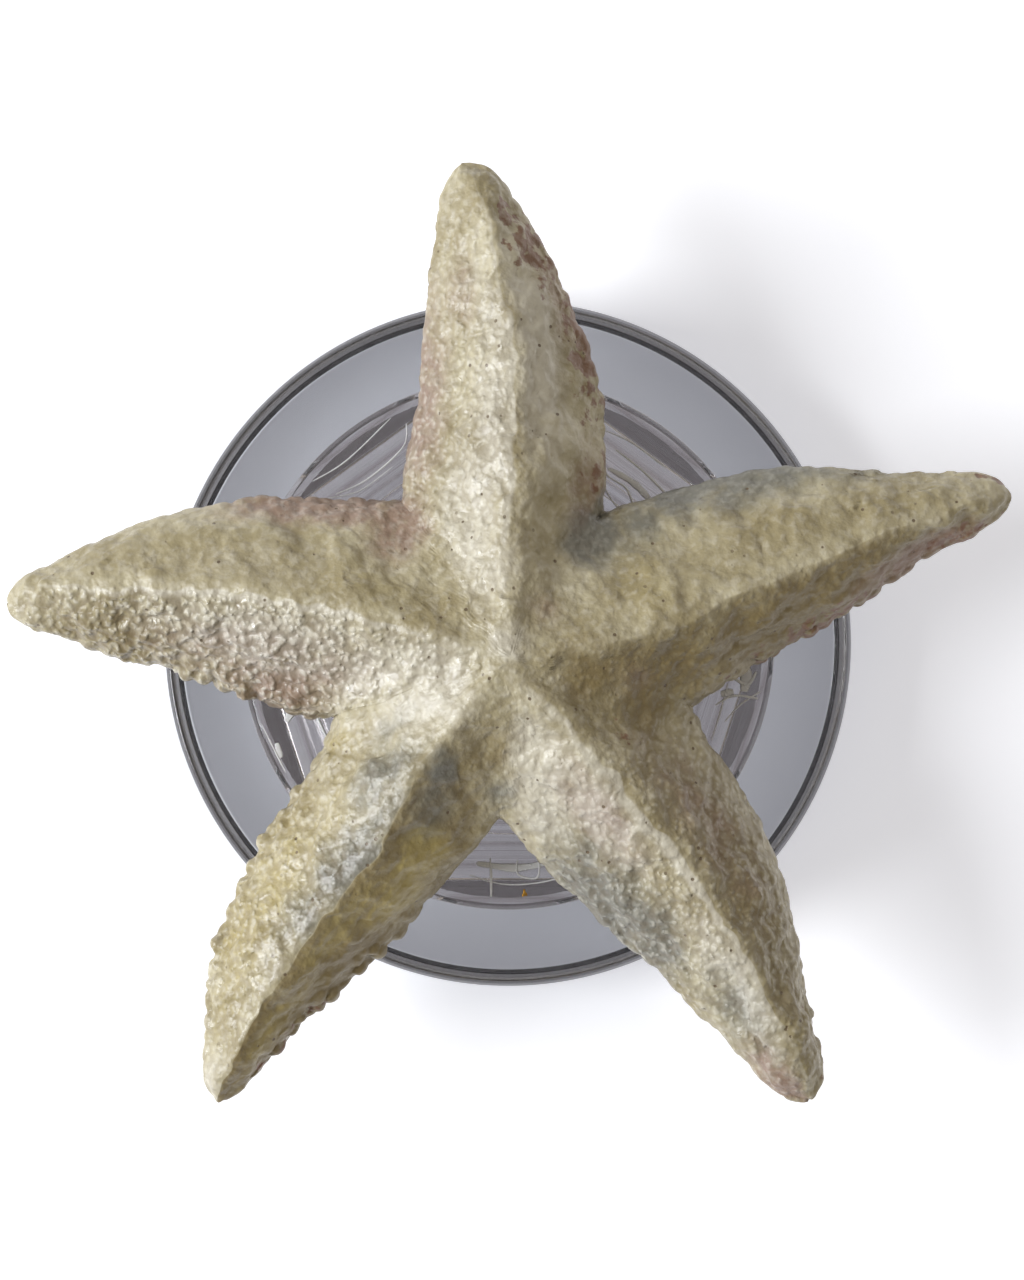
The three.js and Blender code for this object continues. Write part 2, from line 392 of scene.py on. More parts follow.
def ring_of_ribs():
    """All the ribs, counterclockwise: up the right side of each arm and back down its left side."""
    stretches = []
    for index in range(len(ARMS)):
        right = side_of_arm(index, RIGHT)
        left = side_of_arm(index, LEFT)
        stretches.append({key: value[:-1] for key, value in right.items()})
        stretches.append({key: value[:0:-1] for key, value in left.items()})
    return {key: np.concatenate([part[key] for part in stretches]) for key in stretches[0]}


def section_rows():
    """Share of the width, share of the rise and share of the fall for each row, keel to groove.

    The facet is the curve where width and height, each to FACET_POWER, add up to 1. Its rows are
    spread evenly along it.
    """
    turn = np.linspace(math.pi / 2, 0, SECTION_STEPS)
    share = np.clip(np.cos(turn), 0, 1) ** (2 / FACET_POWER)
    height = np.clip(np.sin(turn), 0, 1) ** (2 / FACET_POWER)
    length = np.concatenate(([0], np.cumsum(np.hypot(np.diff(share), np.diff(height)))))
    even = np.linspace(0, length[-1], UPPER_ROWS + 1)
    upper = np.interp(even, length, share), np.interp(even, length, height)
    lower = through(UNDERSIDE, np.linspace(0, 1, LOWER_ROWS + 1)[1:])
    return (
        np.concatenate((upper[0], np.maximum(lower[:, 0], 0))),
        np.concatenate((upper[1], np.zeros(LOWER_ROWS))),
        np.concatenate((np.zeros(UPPER_ROWS + 1), lower[:, 1])),
    )


def smooth_body():
    """The starfish before its granules: (points, triangles, layers of arm coordinates)."""
    ribs = ring_of_ribs()
    share, up, down = section_rows()
    count, rows = len(ribs["along"]), len(share)
    plan = ribs["foot"][:, None] + (ribs["end"] - ribs["foot"])[:, None] * share[None, :, None]
    base = STARFISH_LOW[2] / MM
    height = (base + ribs["margin"] + ribs["lift"])[:, None]
    height = height + ribs["rise"][:, None] * up - ribs["fall"][:, None] * down
    points = np.concatenate((plan, height[..., None]), axis=-1).reshape(-1, 3)
    under = np.broadcast_to((np.arange(rows) > UPPER_ROWS).astype(float), (count, rows))
    layers = {
        "along": np.repeat(ribs["along"], rows),
        "edge": np.repeat(ribs["edge"], rows),
        "arm": np.repeat(ribs["arm"], rows),
        "side": np.repeat(ribs["side"], rows),
        "across": np.tile(share, count),
        "under": under.ravel(),
    }
    kept, triangles = welded(points, grid_triangles(count, rows), tolerance=1e-4)
    return points[kept], triangles, {key: value[kept] for key, value in layers.items()}


def plan_blur(points, radius, step=0.3):
    """Heights averaged round each point in plan, under a bell of that radius.

    They are gathered on a square grid, spread along both its axes and read back between its cells.
    """
    reach = int(3 * radius / step)
    place = (points[:, :2] - points[:, :2].min(axis=0)) / step + reach + 1
    size = place.max(axis=0).astype(int) + reach + 3
    cell = np.round(place).astype(int) @ (size[1], 1)
    count = np.bincount(cell, minlength=size[0] * size[1])
    total = np.bincount(cell, points[:, 2], size[0] * size[1])
    bell_row = np.exp(-0.5 * (np.arange(-reach, reach + 1) * step / radius) ** 2)

    def spread(values):
        grid = values.reshape(size)
        for axis in (0, 1):
            grid = np.apply_along_axis(np.convolve, axis, grid, bell_row, "same")
        return grid

    filled = spread((count > 0).astype(float))
    mean = spread(total / np.maximum(count, 1)) / np.maximum(filled, 1e-9)
    home = np.floor(place).astype(int)
    share = place - home
    height = np.zeros(len(points))
    for i, j in ((0, 0), (0, 1), (1, 0), (1, 1)):
        weight = np.abs(1 - i - share[:, 0]) * np.abs(1 - j - share[:, 1])
        height += weight * mean[home[:, 0] + i, home[:, 1] + j]
    return height


def from_path(plan, path):
    """Distance in plan from each point to the nearest place on a broken line."""
    nearest = np.full(len(plan), np.inf)
    for start, stop in zip(path[:-1], path[1:]):
        line = stop - start
        share = np.clip((plan - start) @ line / (line @ line), 0, 1)
        away = np.linalg.norm(plan - start - share[:, None] * line, axis=1)
        nearest = np.minimum(nearest, away)
    return nearest


def soften(points, layers):
    """Fills the valleys between arms with a wide soft fillet and blends the middle.

    Only the heights of the upper side change. The keels stay crisp until close to the middle. Each
    pass is the radius of a blur and how much of it is used: the first two away from the keels and
    near the valleys, the third near the middle and the last everywhere.
    """
    top = layers["under"] == 0
    upper = points[top]
    plan, across = upper[:, :2], layers["across"][top]
    from_middle = np.linalg.norm(plan - KEEL_CENTRE, axis=1)
    keel = np.full(len(plan), np.inf)
    valley = np.full(len(plan), np.inf)
    for index, arm in enumerate(ARMS):
        foot = side_of_arm(index, LEFT)["foot"][::6]
        keel = np.minimum(keel, from_path(plan, foot))
        hollow = np.array((KEEL_CENTRE, polar(*arm["notch"])))
        valley = np.minimum(valley, from_path(plan, hollow))
    inside = smooth(1.0, 0.94, across)
    passes = (
        (2.6, smooth(1.0, 4.2, keel) * smooth(9, 4, valley)),
        (1.3, smooth(0.4, 1.8, keel) * smooth(7, 3, valley)),
        (0.8, smooth(5.5, 1.5, from_middle) * 0.8),
        (0.35, np.full(len(plan), 0.8)),
    )
    for radius, weight in passes:
        upper[:, 2] = mix(upper[:, 2], plan_blur(upper, radius), weight * inside)
    softened = points.copy()
    softened[top] = upper
    return softened


# Where the margin carries strong nodules: arm, side, place along the margin, reach, strength.
NODULE_STRETCHES = (
    (THIRD, RIGHT, 0.55, 0.6, 1.0), (THIRD, LEFT, 0.65, 0.45, 1.1), (FOURTH, LEFT, 0.85, 0.25, 0.9),
    (SECOND, LEFT, 0.45, 0.55, 0.9), (FIRST, RIGHT, 0.5, 0.4, 0.5), (FIFTH, RIGHT, 0.5, 0.5, 0.7),
    (FIRST, LEFT, 0.15, 0.3, 0.5), (SECOND, RIGHT, 0.3, 0.4, 0.7), (FOURTH, RIGHT, 0.45, 0.5, 0.5),
    (FIFTH, LEFT, 0.7, 0.4, 0.3),
)
# Facets that are grainier or calmer than the rest: arm, side, place along, reach, amount.
GRAIN_STRETCHES = (
    (SECOND, LEFT, 0.5, 0.7, 1.6), (THIRD, RIGHT, 0.6, 0.6, 1.05), (FOURTH, LEFT, 0.6, 0.6, 1.15),
    (FIRST, LEFT, 0.4, 0.6, 1.0), (FOURTH, RIGHT, 0.5, 0.7, 1.05), (FIRST, RIGHT, 0.5, 0.6, 0.45),
    (SECOND, RIGHT, 0.5, 0.6, 0.35), (FIFTH, LEFT, 0.5, 0.6, 0.4), (THIRD, LEFT, 0.4, 0.5, 0.7),
)
PLAIN_GRAIN, PLAIN_NODULES = 0.75, 0.2

# Relief of the skin, in millimetres. A size is from one middle to the next, and a height the most.
GRANULE_SEED = 3
JOSTLE_SIZE, JOSTLE_SEEDS = 1.3, (11, 12, 13)
PATCH_SIZE, PATCH_SEED = 5, 21
KNOB_SIZE, KNOB_HEIGHT, KNOB_SEED = 2.7, 0.36, 7
NODULE_SIZE, NODULE_HEIGHT, NODULE_SEED = 1.8, 1.05, 5
RUNG_PITCH, RUNG_HEIGHT = 1.5, 0.22
# Random swells of the surface: size, height and seed. The fine one grows with the grain.
BROAD_SWELL, MIDDLE_SWELL, FINE_SWELL = (5.2, 0.65, 31), (2.4, 0.42, 32), (1.1, 0.22, 33)
# Random sideways sway of the keels: size, reach and a seed for each direction in plan.
BROAD_SWAY, FINE_SWAY = (3.4, 1.05, (51, 52)), (1.5, 0.84, (53, 54))


def on_side(layers, arm, side):
    """True at the points of one side of an arm."""
    return (layers["arm"] == arm) & (layers["side"] == side)


def on_stretches(layers, stretches):
    """For each stretch, how strongly each point lies in it, 0 to 1, and the stretch's amount."""
    for arm, side, middle, reach, amount in stretches:
        yield on_side(layers, arm, side) * bell(layers["edge"], middle, reach), amount


def raise_granules(points, triangles, layers, settings):
    """Moves every point along its normal by the relief there, and sways it sideways.

    The relief is granules and swells everywhere, low knobs on the smoother facets, rungs along the
    grooves and nodules at the margins. The sway makes the keels ragged. Returns the new points and
    two layers: crown, 0 between granules and 1 on top of one, and grain, how strongly the place is
    grained.
    """
    normals = point_normals(points, triangles)
    upper = 1 - layers["under"]
    grain = np.full(len(points), PLAIN_GRAIN)
    for there, amount in on_stretches(layers, GRAIN_STRETCHES):
        grain += (amount - PLAIN_GRAIN) * there * smooth(0.0, 0.15, layers["across"])

    jostle = drift(points, JOSTLE_SIZE, 1.0, JOSTLE_SEEDS)
    distance, chance = pebbles(points + 1.1 * jostle, settings.granule_size / MM, GRANULE_SEED)
    crown = dome(distance, 0.8) * (0.4 + 0.6 * chance)
    patchy = 0.6 + 0.8 * rolling(points, PATCH_SIZE, PATCH_SEED)
    height = settings.granule_height / MM * crown * grain * patchy
    height += swell(points, *BROAD_SWELL) + swell(points, *MIDDLE_SWELL)
    height += grain * swell(points, *FINE_SWELL)

    far, luck = pebbles(points + 0.8 * jostle, KNOB_SIZE, KNOB_SEED)
    height += KNOB_HEIGHT * dome(far, 0.7) * luck * smooth(0.75, 0.45, grain) * upper
    arm_reach = np.array([arm["reach"] for arm in ARMS])[layers["arm"].astype(int)]
    rung = np.sin(layers["along"] * arm_reach * (2 * math.pi / RUNG_PITCH))
    height += RUNG_HEIGHT * rung * layers["under"] * smooth(0.2, 0.08, layers["across"])

    strength = np.full(len(points), PLAIN_NODULES)
    for there, amount in on_stretches(layers, NODULE_STRETCHES):
        strength = np.maximum(strength, amount * there)
    near_margin = smooth(0.74, 0.97, layers["across"]) * mix(1, 0.75, layers["under"])
    far, luck = pebbles(points + 0.5 * jostle, NODULE_SIZE, NODULE_SEED)
    nodules = NODULE_HEIGHT * dome(far, 0.6) * (0.3 + 0.7 * luck)
    height += near_margin * strength * (nodules - 0.2)

    calm = mix(0.45, 1, smooth(0.99, 0.85, layers["edge"])) * mix(1, 0.6, layers["under"])
    moved = points + normals * (height * calm)[:, None]
    sway = drift(points, *BROAD_SWAY) + drift(points, *FINE_SWAY)
    moved[:, :2] += sway * (upper * smooth(1, 0.5, layers["across"]))[:, None]
    return moved, {"crown": crown, "grain": grain}


# Washes of colour: arm, side, place along the arm, reach, place across the facet, reach, strength.
ARM_WASHES = {
    "rose": (
        (FIRST, LEFT, 0.50, 0.50, 1.00, 0.55, 0.80), (FIRST, LEFT, 0.75, 0.20, 0.6, 0.5, 0.5),
        (FIRST, RIGHT, 0.75, 0.30, 0.80, 0.55, 0.6), (FIRST, RIGHT, 0.25, 0.30, 0.8, 0.5, 0.6),
        (SECOND, RIGHT, 0.32, 0.45, 1.0, 0.45, 1.3), (SECOND, LEFT, 0.45, 0.50, 0.6, 0.7, 0.75),
        (FIFTH, RIGHT, 0.80, 0.35, 0.80, 0.7, 0.75), (FOURTH, RIGHT, 0.93, 0.2, 0.65, 0.9, 0.9),
        (FOURTH, RIGHT, 0.30, 0.25, 0.30, 0.40, 0.8), (FOURTH, LEFT, 0.4, 0.5, 0.5, 0.7, 0.5),
        (SECOND, LEFT, 0.42, 0.25, 0.8, 0.5, 0.9),
    ),
    "slate": (
        (FIFTH, LEFT, 0.45, 0.55, 1.00, 0.55, 0.95), (FOURTH, RIGHT, 0.45, 0.38, 0.8, 0.7, 0.95),
        (FOURTH, RIGHT, 0.78, 0.35, 0.5, 0.9, 0.65), (THIRD, LEFT, 0.28, 0.14, 0.35, 0.4, 0.75),
        (THIRD, RIGHT, 0.47, 0.42, 0.15, 0.60, 0.75), (THIRD, RIGHT, 0.28, 0.2, 0.3, 0.45, 0.9),
        (THIRD, RIGHT, 0.15, 0.2, 0.5, 0.4, 0.6), (FIRST, RIGHT, 0.12, 0.15, 0.95, 0.35, 0.7),
        (FIFTH, LEFT, 0.2, 0.25, 0.7, 0.4, 0.5),
    ),
    "amber": (
        (THIRD, LEFT, 0.42, 0.20, 0.60, 0.50, 1.0), (THIRD, RIGHT, 0.6, 0.6, 0.65, 0.8, 0.6),
        (THIRD, LEFT, 0.80, 0.30, 0.5, 0.6, 0.6), (FOURTH, RIGHT, 0.25, 0.15, 0.25, 0.25, 0.6),
        (FIRST, RIGHT, 0.45, 0.30, 0.40, 0.5, 0.35), (THIRD, RIGHT, 0.2, 0.15, 0.9, 0.4, 0.5),
        (THIRD, LEFT, 0.60, 0.35, 0.3, 0.5, 0.6), (FIFTH, LEFT, 0.25, 0.2, 0.3, 0.35, 0.4),
        (SECOND, RIGHT, 0.3, 0.3, 0.3, 0.4, 0.35),
    ),
    "olive": (
        (SECOND, LEFT, 0.8, 0.3, 0.6, 0.9, 0.9), (SECOND, RIGHT, 0.55, 0.5, 0.40, 0.7, 0.9),
        (FIFTH, LEFT, 0.55, 0.5, 0.4, 0.6, 0.85),
        (THIRD, RIGHT, 0.50, 0.4, 0.1, 0.4, 0.8), (FIRST, RIGHT, 0.55, 0.5, 0.4, 0.7, 0.35),
        (FOURTH, LEFT, 0.5, 0.6, 0.5, 0.9, 0.8), (FIFTH, RIGHT, 0.45, 0.5, 0.5, 0.9, 0.8),
        (THIRD, LEFT, 0.65, 0.5, 0.7, 0.7, 0.7),
    ),
    "rust": (
        (FIRST, RIGHT, 0.60, 0.35, 1.0, 0.6, 1.0), (FIRST, RIGHT, 0.85, 0.22, 0.7, 0.8, 1.1),
        (FIFTH, RIGHT, 0.55, 0.4, 1.0, 0.5, 0.9), (FIFTH, RIGHT, 0.9, 0.2, 0.9, 0.6, 0.8),
        (FIRST, RIGHT, 0.30, 0.3, 0.95, 0.4, 0.7), (THIRD, LEFT, 0.8, 0.3, 1.0, 0.4, 0.6),
        (FOURTH, LEFT, 0.9, 0.25, 0.9, 0.6, 0.5), (FIFTH, LEFT, 0.97, 0.1, 0.9, 0.8, 0.7),
        (THIRD, RIGHT, 0.97, 0.1, 0.5, 1.0, 0.6),
    ),
    # Bark is partly real dark brown, partly painted shade on facets turned from the light.
    "bark": (
        (THIRD, LEFT, 0.6, 0.8, 0.5, 1.2, 1.2), (FIFTH, RIGHT, 0.22, 0.4, 0.5, 0.9, 1.0),
        (FIFTH, RIGHT, 0.6, 0.6, 0.6, 1.1, 1.2), (SECOND, LEFT, 0.78, 0.3, 0.7, 0.5, 0.6),
        (FOURTH, LEFT, 0.6, 0.6, 0.5, 0.9, 0.55), (THIRD, LEFT, 0.85, 0.35, 0.5, 1.2, 1.3),
    ),
    # Pearl is partly a real pale colour, partly a painted sheen on lit facets and their keels.
    "pearl": (
        (FIRST, RIGHT, 0.60, 0.5, 0.35, 0.6, 1.0), (FIRST, LEFT, 0.5, 0.6, 0.2, 0.5, 0.8),
        (FIRST, LEFT, 0.5, 0.8, 0.03, 0.12, 1.0), (FOURTH, RIGHT, 0.5, 0.8, 0.03, 0.14, 1.0),
        (SECOND, LEFT, 0.5, 0.8, 0.03, 0.14, 1.0), (SECOND, LEFT, 0.2, 0.25, 0.5, 0.8, 1.0),
        (FOURTH, RIGHT, 0.15, 0.25, 0.5, 0.8, 1.0), (SECOND, RIGHT, 0.5, 0.5, 0.3, 0.6, 0.4),
        (SECOND, LEFT, 0.45, 0.5, 0.4, 0.7, 0.9), (FIRST, LEFT, 0.25, 0.45, 0.35, 0.6, 0.85),
        (THIRD, RIGHT, 0.98, 0.12, 0.5, 1.0, 0.9), (FOURTH, RIGHT, 0.3, 0.3, 0.3, 0.5, 0.8),
        (FOURTH, RIGHT, 0.7, 0.35, 0.25, 0.5, 0.85), (THIRD, RIGHT, 0.1, 0.2, 0.5, 0.6, 0.5),
        (FIRST, LEFT, 0.75, 0.25, 0.3, 0.5, 0.5), (SECOND, LEFT, 0.96, 0.12, 0.6, 0.8, 0.3),
    ),
}
# Washes near the middle: place in plan in millimetres, reach, strength.
MIDDLE_WASHES = {
    "rust": ((12.0, -9.0, 4.0, 0.5),),
    "rose": ((-11.5, 13.0, 7.0, 1.0), (4.0, 4.0, 4.5, 0.45), (12.5, -3.5, 5.0, 0.4)),
    "slate": ((8.8, 11.5, 6.0, 1.1), (14.0, 13.4, 5.0, 0.9), (-7.0, -12.5, 3.8, 0.9),
              (-0.5, -15.0, 3.5, 0.8), (4.0, -18.0, 4.0, 0.6), (-12.5, -9.5, 4.5, 0.5)),
    "amber": ((-8.5, -20.5, 4.5, 0.9), (14.5, 7.5, 4.0, 0.4), (-14.0, 5.5, 5.0, 0.35)),
    "olive": ((-8.0, 4.0, 6.0, 0.7), (9.0, -6.0, 8.0, 0.9), (-3.0, -12.0, 5.0, 0.6)),
    # Bark near the middle is partly painted shade, on its side away from the light.
    "bark": ((8.5, -2.6, 6.5, 0.85), (14.0, -6.0, 6.0, 0.9), (-1.5, -10.0, 7.5, 0.6)),
    # Pearl near the middle is partly pale colour and partly painted sheen.
    "pearl": ((-8.2, -3.8, 9.0, 1.1), (0.2, 0.4, 4.0, 1.0), (-1.5, 9.0, 6.0, 0.8),
              (5.5, -12.5, 5.0, 0.8)),
}


def wash_layers(points, layers):
    """How strongly each colour is washed over each point: the strongest of its patches there."""
    strengths = {}
    for colour, patches in ARM_WASHES.items():
        total = np.zeros(len(points))
        for arm, side, along, reach, across, spread, amount in patches:
            there = bell(layers["along"], along, reach) * bell(layers["across"], across, spread)
            total = np.maximum(total, amount * there * on_side(layers, arm, side))
        for x, y, reach, amount in MIDDLE_WASHES[colour]:
            away = np.linalg.norm(points[:, :2] - (x, y), axis=1)
            total = np.maximum(total, amount * smooth(reach, 0, away))
        strengths[colour] = total
    return strengths


# ---------------------------------------------------------------------------
# Materials
# ---------------------------------------------------------------------------

class Signal:
    """A number on its way through a material: arithmetic on it adds Math nodes."""

    def __init__(self, recipe, socket):
        self.recipe = recipe
        self.socket = socket

    def _math(self, operation, *values):
        values = dict(enumerate(values))
        return self.recipe.add("ShaderNodeMath", {"operation": operation}, values)[0]

    def __add__(self, other):
        return self._math("ADD", self, other)

    def __sub__(self, other):
        return self._math("SUBTRACT", self, other)

    def __rsub__(self, other):
        return self._math("SUBTRACT", other, self)

    def __mul__(self, other):
        return self._math("MULTIPLY", self, other)

    def __pow__(self, other):
        return self._math("POWER", self, other)

    __radd__ = __add__
    __rmul__ = __mul__

    def between(self, low, high):
        """0 where the signal is low, 1 where it is high, and an even S between them."""
        settings = {"interpolation_type": "SMOOTHSTEP"}
        return self.recipe.add("ShaderNodeMapRange", settings, {0: self, 1: low, 2: high})[0]


class Recipe:
    """One material, built node by node."""

    def __init__(self, name):
        self.material = bpy.data.materials.new(name)
        self.material.use_nodes = True
        self.tree = self.material.node_tree
        self.tree.nodes.clear()
        self.place = self.add("ShaderNodeTexCoord")["Object"]

    def add(self, kind, settings=None, sockets=None):
        """Adds a node: its settings first, then the values or links of its sockets."""
        node = self.tree.nodes.new(kind)
        for name, value in (settings or {}).items():
            setattr(node, name, value)
        for name, value in (sockets or {}).items():
            if isinstance(value, Signal):
                self.tree.links.new(value.socket, node.inputs[name])
            else:
                node.inputs[name].default_value = value
        return Outputs(self, node)

    def layer(self, name):
        """The piece's own numbers of that name, from point to point."""
        return self.add("ShaderNodeAttribute", {"attribute_name": name})["Fac"]

    def noise(self, size, detail=3.0, roughness=0.5, distortion=0.0):
        """Cloudy noise with clouds about size across, in metres."""
        values = {"Vector": self.place, "Scale": 1 / size, "Detail": detail,
                  "Roughness": roughness, "Distortion": distortion}
        return self.add("ShaderNodeTexNoise", None, values)[0]

    def noise_along(self, signal, detail, roughness):
        """Noise that changes only with the signal."""
        values = {"W": signal, "Scale": 1.0, "Detail": detail, "Roughness": roughness}
        return self.add("ShaderNodeTexNoise", {"noise_dimensions": "1D"}, values)[0]

    def cells(self, size, feature="F1", place=None):
        """Distance to the middle of the nearest of cells scattered about size apart, in sizes."""
        values = {"Vector": place or self.place, "Scale": 1 / size}
        return self.add("ShaderNodeTexVoronoi", {"feature": feature}, values)["Distance"]

    def warped(self, amount, size):
        """The place, pushed up to half of amount each way by noise of that size."""
        noise = self.add("ShaderNodeTexNoise", None, {"Vector": self.place, "Scale": 1 / size})
        values = {0: noise["Color"], 1: (amount,) * 3, 2: self.place}
        return self.add("ShaderNodeVectorMath", {"operation": "MULTIPLY_ADD"}, values)[0]

    def blend(self, first, second, share):
        """first where share is 0 and second where it is 1."""
        settings = {"data_type": "RGBA", "clamp_factor": True}
        return self.add("ShaderNodeMix", settings, {0: share, 6: first, 7: second})[2]

    def bump(self, height, strength, distance, below=None):
        """A bent normal for relief up to distance high, laid over another one below."""
        values = {"Height": height, "Strength": strength, "Distance": distance}
        if below is not None:
            values["Normal"] = below
        return self.add("ShaderNodeBump", None, values)[0]

    def finish(self, sockets):
        """Puts the sockets on a Principled shader and makes it the material's surface."""
        shader = self.add("ShaderNodeBsdfPrincipled", None, sockets)[0]
        self.add("ShaderNodeOutputMaterial", None, {"Surface": shader})
        return self.material


class Outputs:
    """A node's outputs, by name or number, as signals."""

    def __init__(self, recipe, node):
        self.recipe = recipe
        self.node = node

    def __getitem__(self, name):
        return Signal(self.recipe, self.node.outputs[name])


def opaque(colour, shares=(1, 1, 1)):
    """A colour with its alpha, each of its channels held to a share."""
    return (*(channel * share for channel, share in zip(colour, shares)), 1.0)


# Washes in the order they are laid: the setting that holds the colour, the size of the patches in
# millimetres and the most that it covers.
# The bark wash also lays painted shade, and the pearl wash a painted sheen.
WASH_FINISHES = {
    "olive": ("olive", 2.9, 0.75), "bark": ("bark", 2.7, 0.88), "amber": ("amber", 3.1, 0.85),
    "slate": ("slate", 3.7, 0.92), "rose": ("rose", 2.2, 0.85), "pearl": ("painted_highlight_white", 2.4, 0.55),
}


def washed_ground(recipe, settings, mottle):
    """The ground of cream and olive clouds, the washes in soft patches, and rust in crisp blotches."""
    cloud = recipe.noise(9 * MM, 3, 0.55)
    ground = (cloud * 0.75 + mottle * 0.35).between(0.40, 0.68)
    colour = recipe.blend(opaque(settings.olive), opaque(settings.cream), ground)
    for name, (hue, size, most) in WASH_FINISHES.items():
        patch = recipe.noise(size * MM, 4, 0.6)
        share = (recipe.layer(name) * (0.1 + 1.9 * patch)).between(0.15, 0.95) * most
        colour = recipe.blend(colour, opaque(getattr(settings, hue)), share)
    rusted = recipe.layer("rust")
    blotch = (recipe.noise(1.5 * MM, 3, 0.55) + rusted * 0.36).between(0.74, 0.84)
    share = blotch * rusted.between(0, 0.2) * 0.85
    return recipe.blend(colour, opaque(settings.rust), share)


def varnished_skin(settings):
    """A washed ground grained with beads and pits, under a glossy varnish.

    The layer grain turns soft low bumps into packed glossy beads with painted highlights on their
    crowns and painted shade between them. White flecks are painted glints, and the pits and the low
    places between granules are painted darker as shade. The dark washes hold the painted highlights
    back.
    """
    recipe = Recipe("varnished_starfish_skin")
    white, painted_recess_shade = opaque(settings.painted_highlight_white), opaque(settings.painted_recess_shade)
    beaded = 0.08 + recipe.layer("grain").between(0.35, 1.7) * 0.92
    mottle = recipe.noise(3.4 * MM, 4, 0.6)
    soft = recipe.noise(1.0 * MM, 2, 0.5)
    fleck = recipe.noise(0.6 * MM, 4, 0.7)
    dents = recipe.cells(1.5 * MM, "SMOOTH_F1").between(0.1, 0.6)
    warped = recipe.warped(0.7 * MM, 1.3 * MM)
    beads = (1 - recipe.cells(0.72 * MM, "SMOOTH_F1", warped)).between(0.35, 0.95)

    colour = washed_ground(recipe, settings, mottle)
    # The dark washes, partly painted shade, hold back the painted white.
    stain_and_painted_shade = recipe.layer("bark") + recipe.layer("rust") * 0.5 + recipe.layer("slate") * 0.5
    bare = 1 - stain_and_painted_shade.between(0, 1) * 0.75
    # White flecks all over, painted as glints, held back under the dark washes.
    painted_sparkle = (soft.between(0.48, 0.7) * 0.22 + fleck.between(0.55, 0.7) * 0.12) * bare
    colour = recipe.blend(colour, white, painted_sparkle)
    # Painted highlights on the crowns of the beads.
    painted_bead_highlights = beads.between(0.45, 0.95) * beaded * (0.25 + 0.8 * mottle) * bare
    colour = recipe.blend(colour, white, painted_bead_highlights)
    # Painted shade in the gaps between the beads.
    painted_gap_shade = (1 - beads).between(0.5, 1.0) * beaded * (0.2 + 0.9 * mottle)
    colour = recipe.blend(colour, painted_recess_shade, painted_gap_shade * 0.8)
    # Painted shade in the low places between the raised granules.
    hollow = (recipe.layer("crown") + fleck).between(0.62, 0.3) * 0.3
    colour = recipe.blend(colour, painted_recess_shade, hollow)
    # Painted shade in the pits, which the bump also dents.
    pits = recipe.cells(1.7 * MM).between(0.13, 0.08) * recipe.noise(5 * MM, 2).between(0.46, 0.58)
    colour = recipe.blend(colour, painted_recess_shade, pits * 0.9)

    fine = recipe.bump(fleck, 0.4, 0.14 * MM)
    lumps = recipe.bump(soft + dents * 0.6 - pits * 0.8, 0.5, 0.38 * MM, fine)
    gloss = fleck.between(0.5, 0.65) * 0.2
    return recipe.finish({
        "Base Color": colour,
        "Roughness": 0.38 - beaded * 0.15 + fleck * 0.2,
        "Coat Weight": 0.08 + beaded * beaded * 0.55 + gloss,
        "Coat Roughness": 0.06,
        "Specular IOR Level": 0.5,
        "Normal": recipe.bump(beads * beaded, 0.75, 0.36 * MM, lumps),
    })


# How far the clear plastic's tint drops in its bands of painted reflection, and where the layer
# dark, a painted shade at the edges, is full.
PAINTED_REFLECTION_SHADE = (0.66, 0.62, 0.61)
PAINTED_EDGE_SHADE = (0.12, 0.105, 0.10)


def clear_plastic(name, tint, settings, marks, band_depth):
    """Clear moulded plastic with a faint tint, bands of painted reflection, flow lines and handling
    marks.

    The layer dark deepens the tint to a painted shade where the plastic is seen edge on, and the
    layer band counts across the bands of painted reflection: the arms' dark images in the plastic.
    """
    recipe = Recipe(name)
    flow = recipe.noise(marks, 3, 0.6, 1.5)
    scuffs = recipe.noise(0.9 * MM, 4, 0.7).between(0.62, 0.8)
    bands = recipe.noise_along(recipe.layer("band"), 3, 0.7)
    colour = recipe.blend(opaque(tint), opaque(tint, (0.93,) * 3), flow)
    # Bands of painted reflection, parallel to the hollow's straight sides.
    colour = recipe.blend(colour, opaque(tint, PAINTED_REFLECTION_SHADE), bands.between(0.44, 0.6) * band_depth)
    # Painted shade where the plastic is seen edge on.
    colour = recipe.blend(colour, opaque(tint, PAINTED_EDGE_SHADE), recipe.layer("dark"))
    return recipe.finish({
        "Base Color": colour,
        "Roughness": settings.plastic_roughness + scuffs * 0.06,
        "Transmission Weight": 1.0,
        "IOR": 1.49,
        "Normal": recipe.bump(flow + bands * band_depth, 0.12, 0.1 * MM),
    })


def set_glue_finish(settings):
    """Set clear glue, milky with tiny bubbles."""
    recipe = Recipe("set_clear_glue")
    bubbles = recipe.cells(0.5 * MM).between(0.3, 0.1)
    cloud = recipe.noise(3 * MM, 3)
    return recipe.finish({
        "Base Color": recipe.blend(opaque(settings.glue), (0.9, 0.9, 0.88, 1), cloud * 0.5),
        "Roughness": 0.25 + bubbles * 0.3,
        "Transmission Weight": 0.2,
        "IOR": 1.47,
        "Normal": recipe.bump(cloud + bubbles, 0.4, 0.2 * MM),
    })


def floor_finish(settings):
    """Matt pale paper, lit a little from below, with the faintest grain."""
    recipe = Recipe("pale_studio_floor")
    grain = recipe.noise(1.5 * MM, 2)
    paper, shade = opaque(settings.floor_colour), opaque(settings.floor_colour, (0.985,) * 3)
    return recipe.finish({
        "Base Color": recipe.blend(paper, shade, grain),
        "Roughness": 0.9,
        "Specular IOR Level": 0.1,
        "Emission Color": opaque(settings.floor_glow),
        "Emission Strength": 1.0,
    })


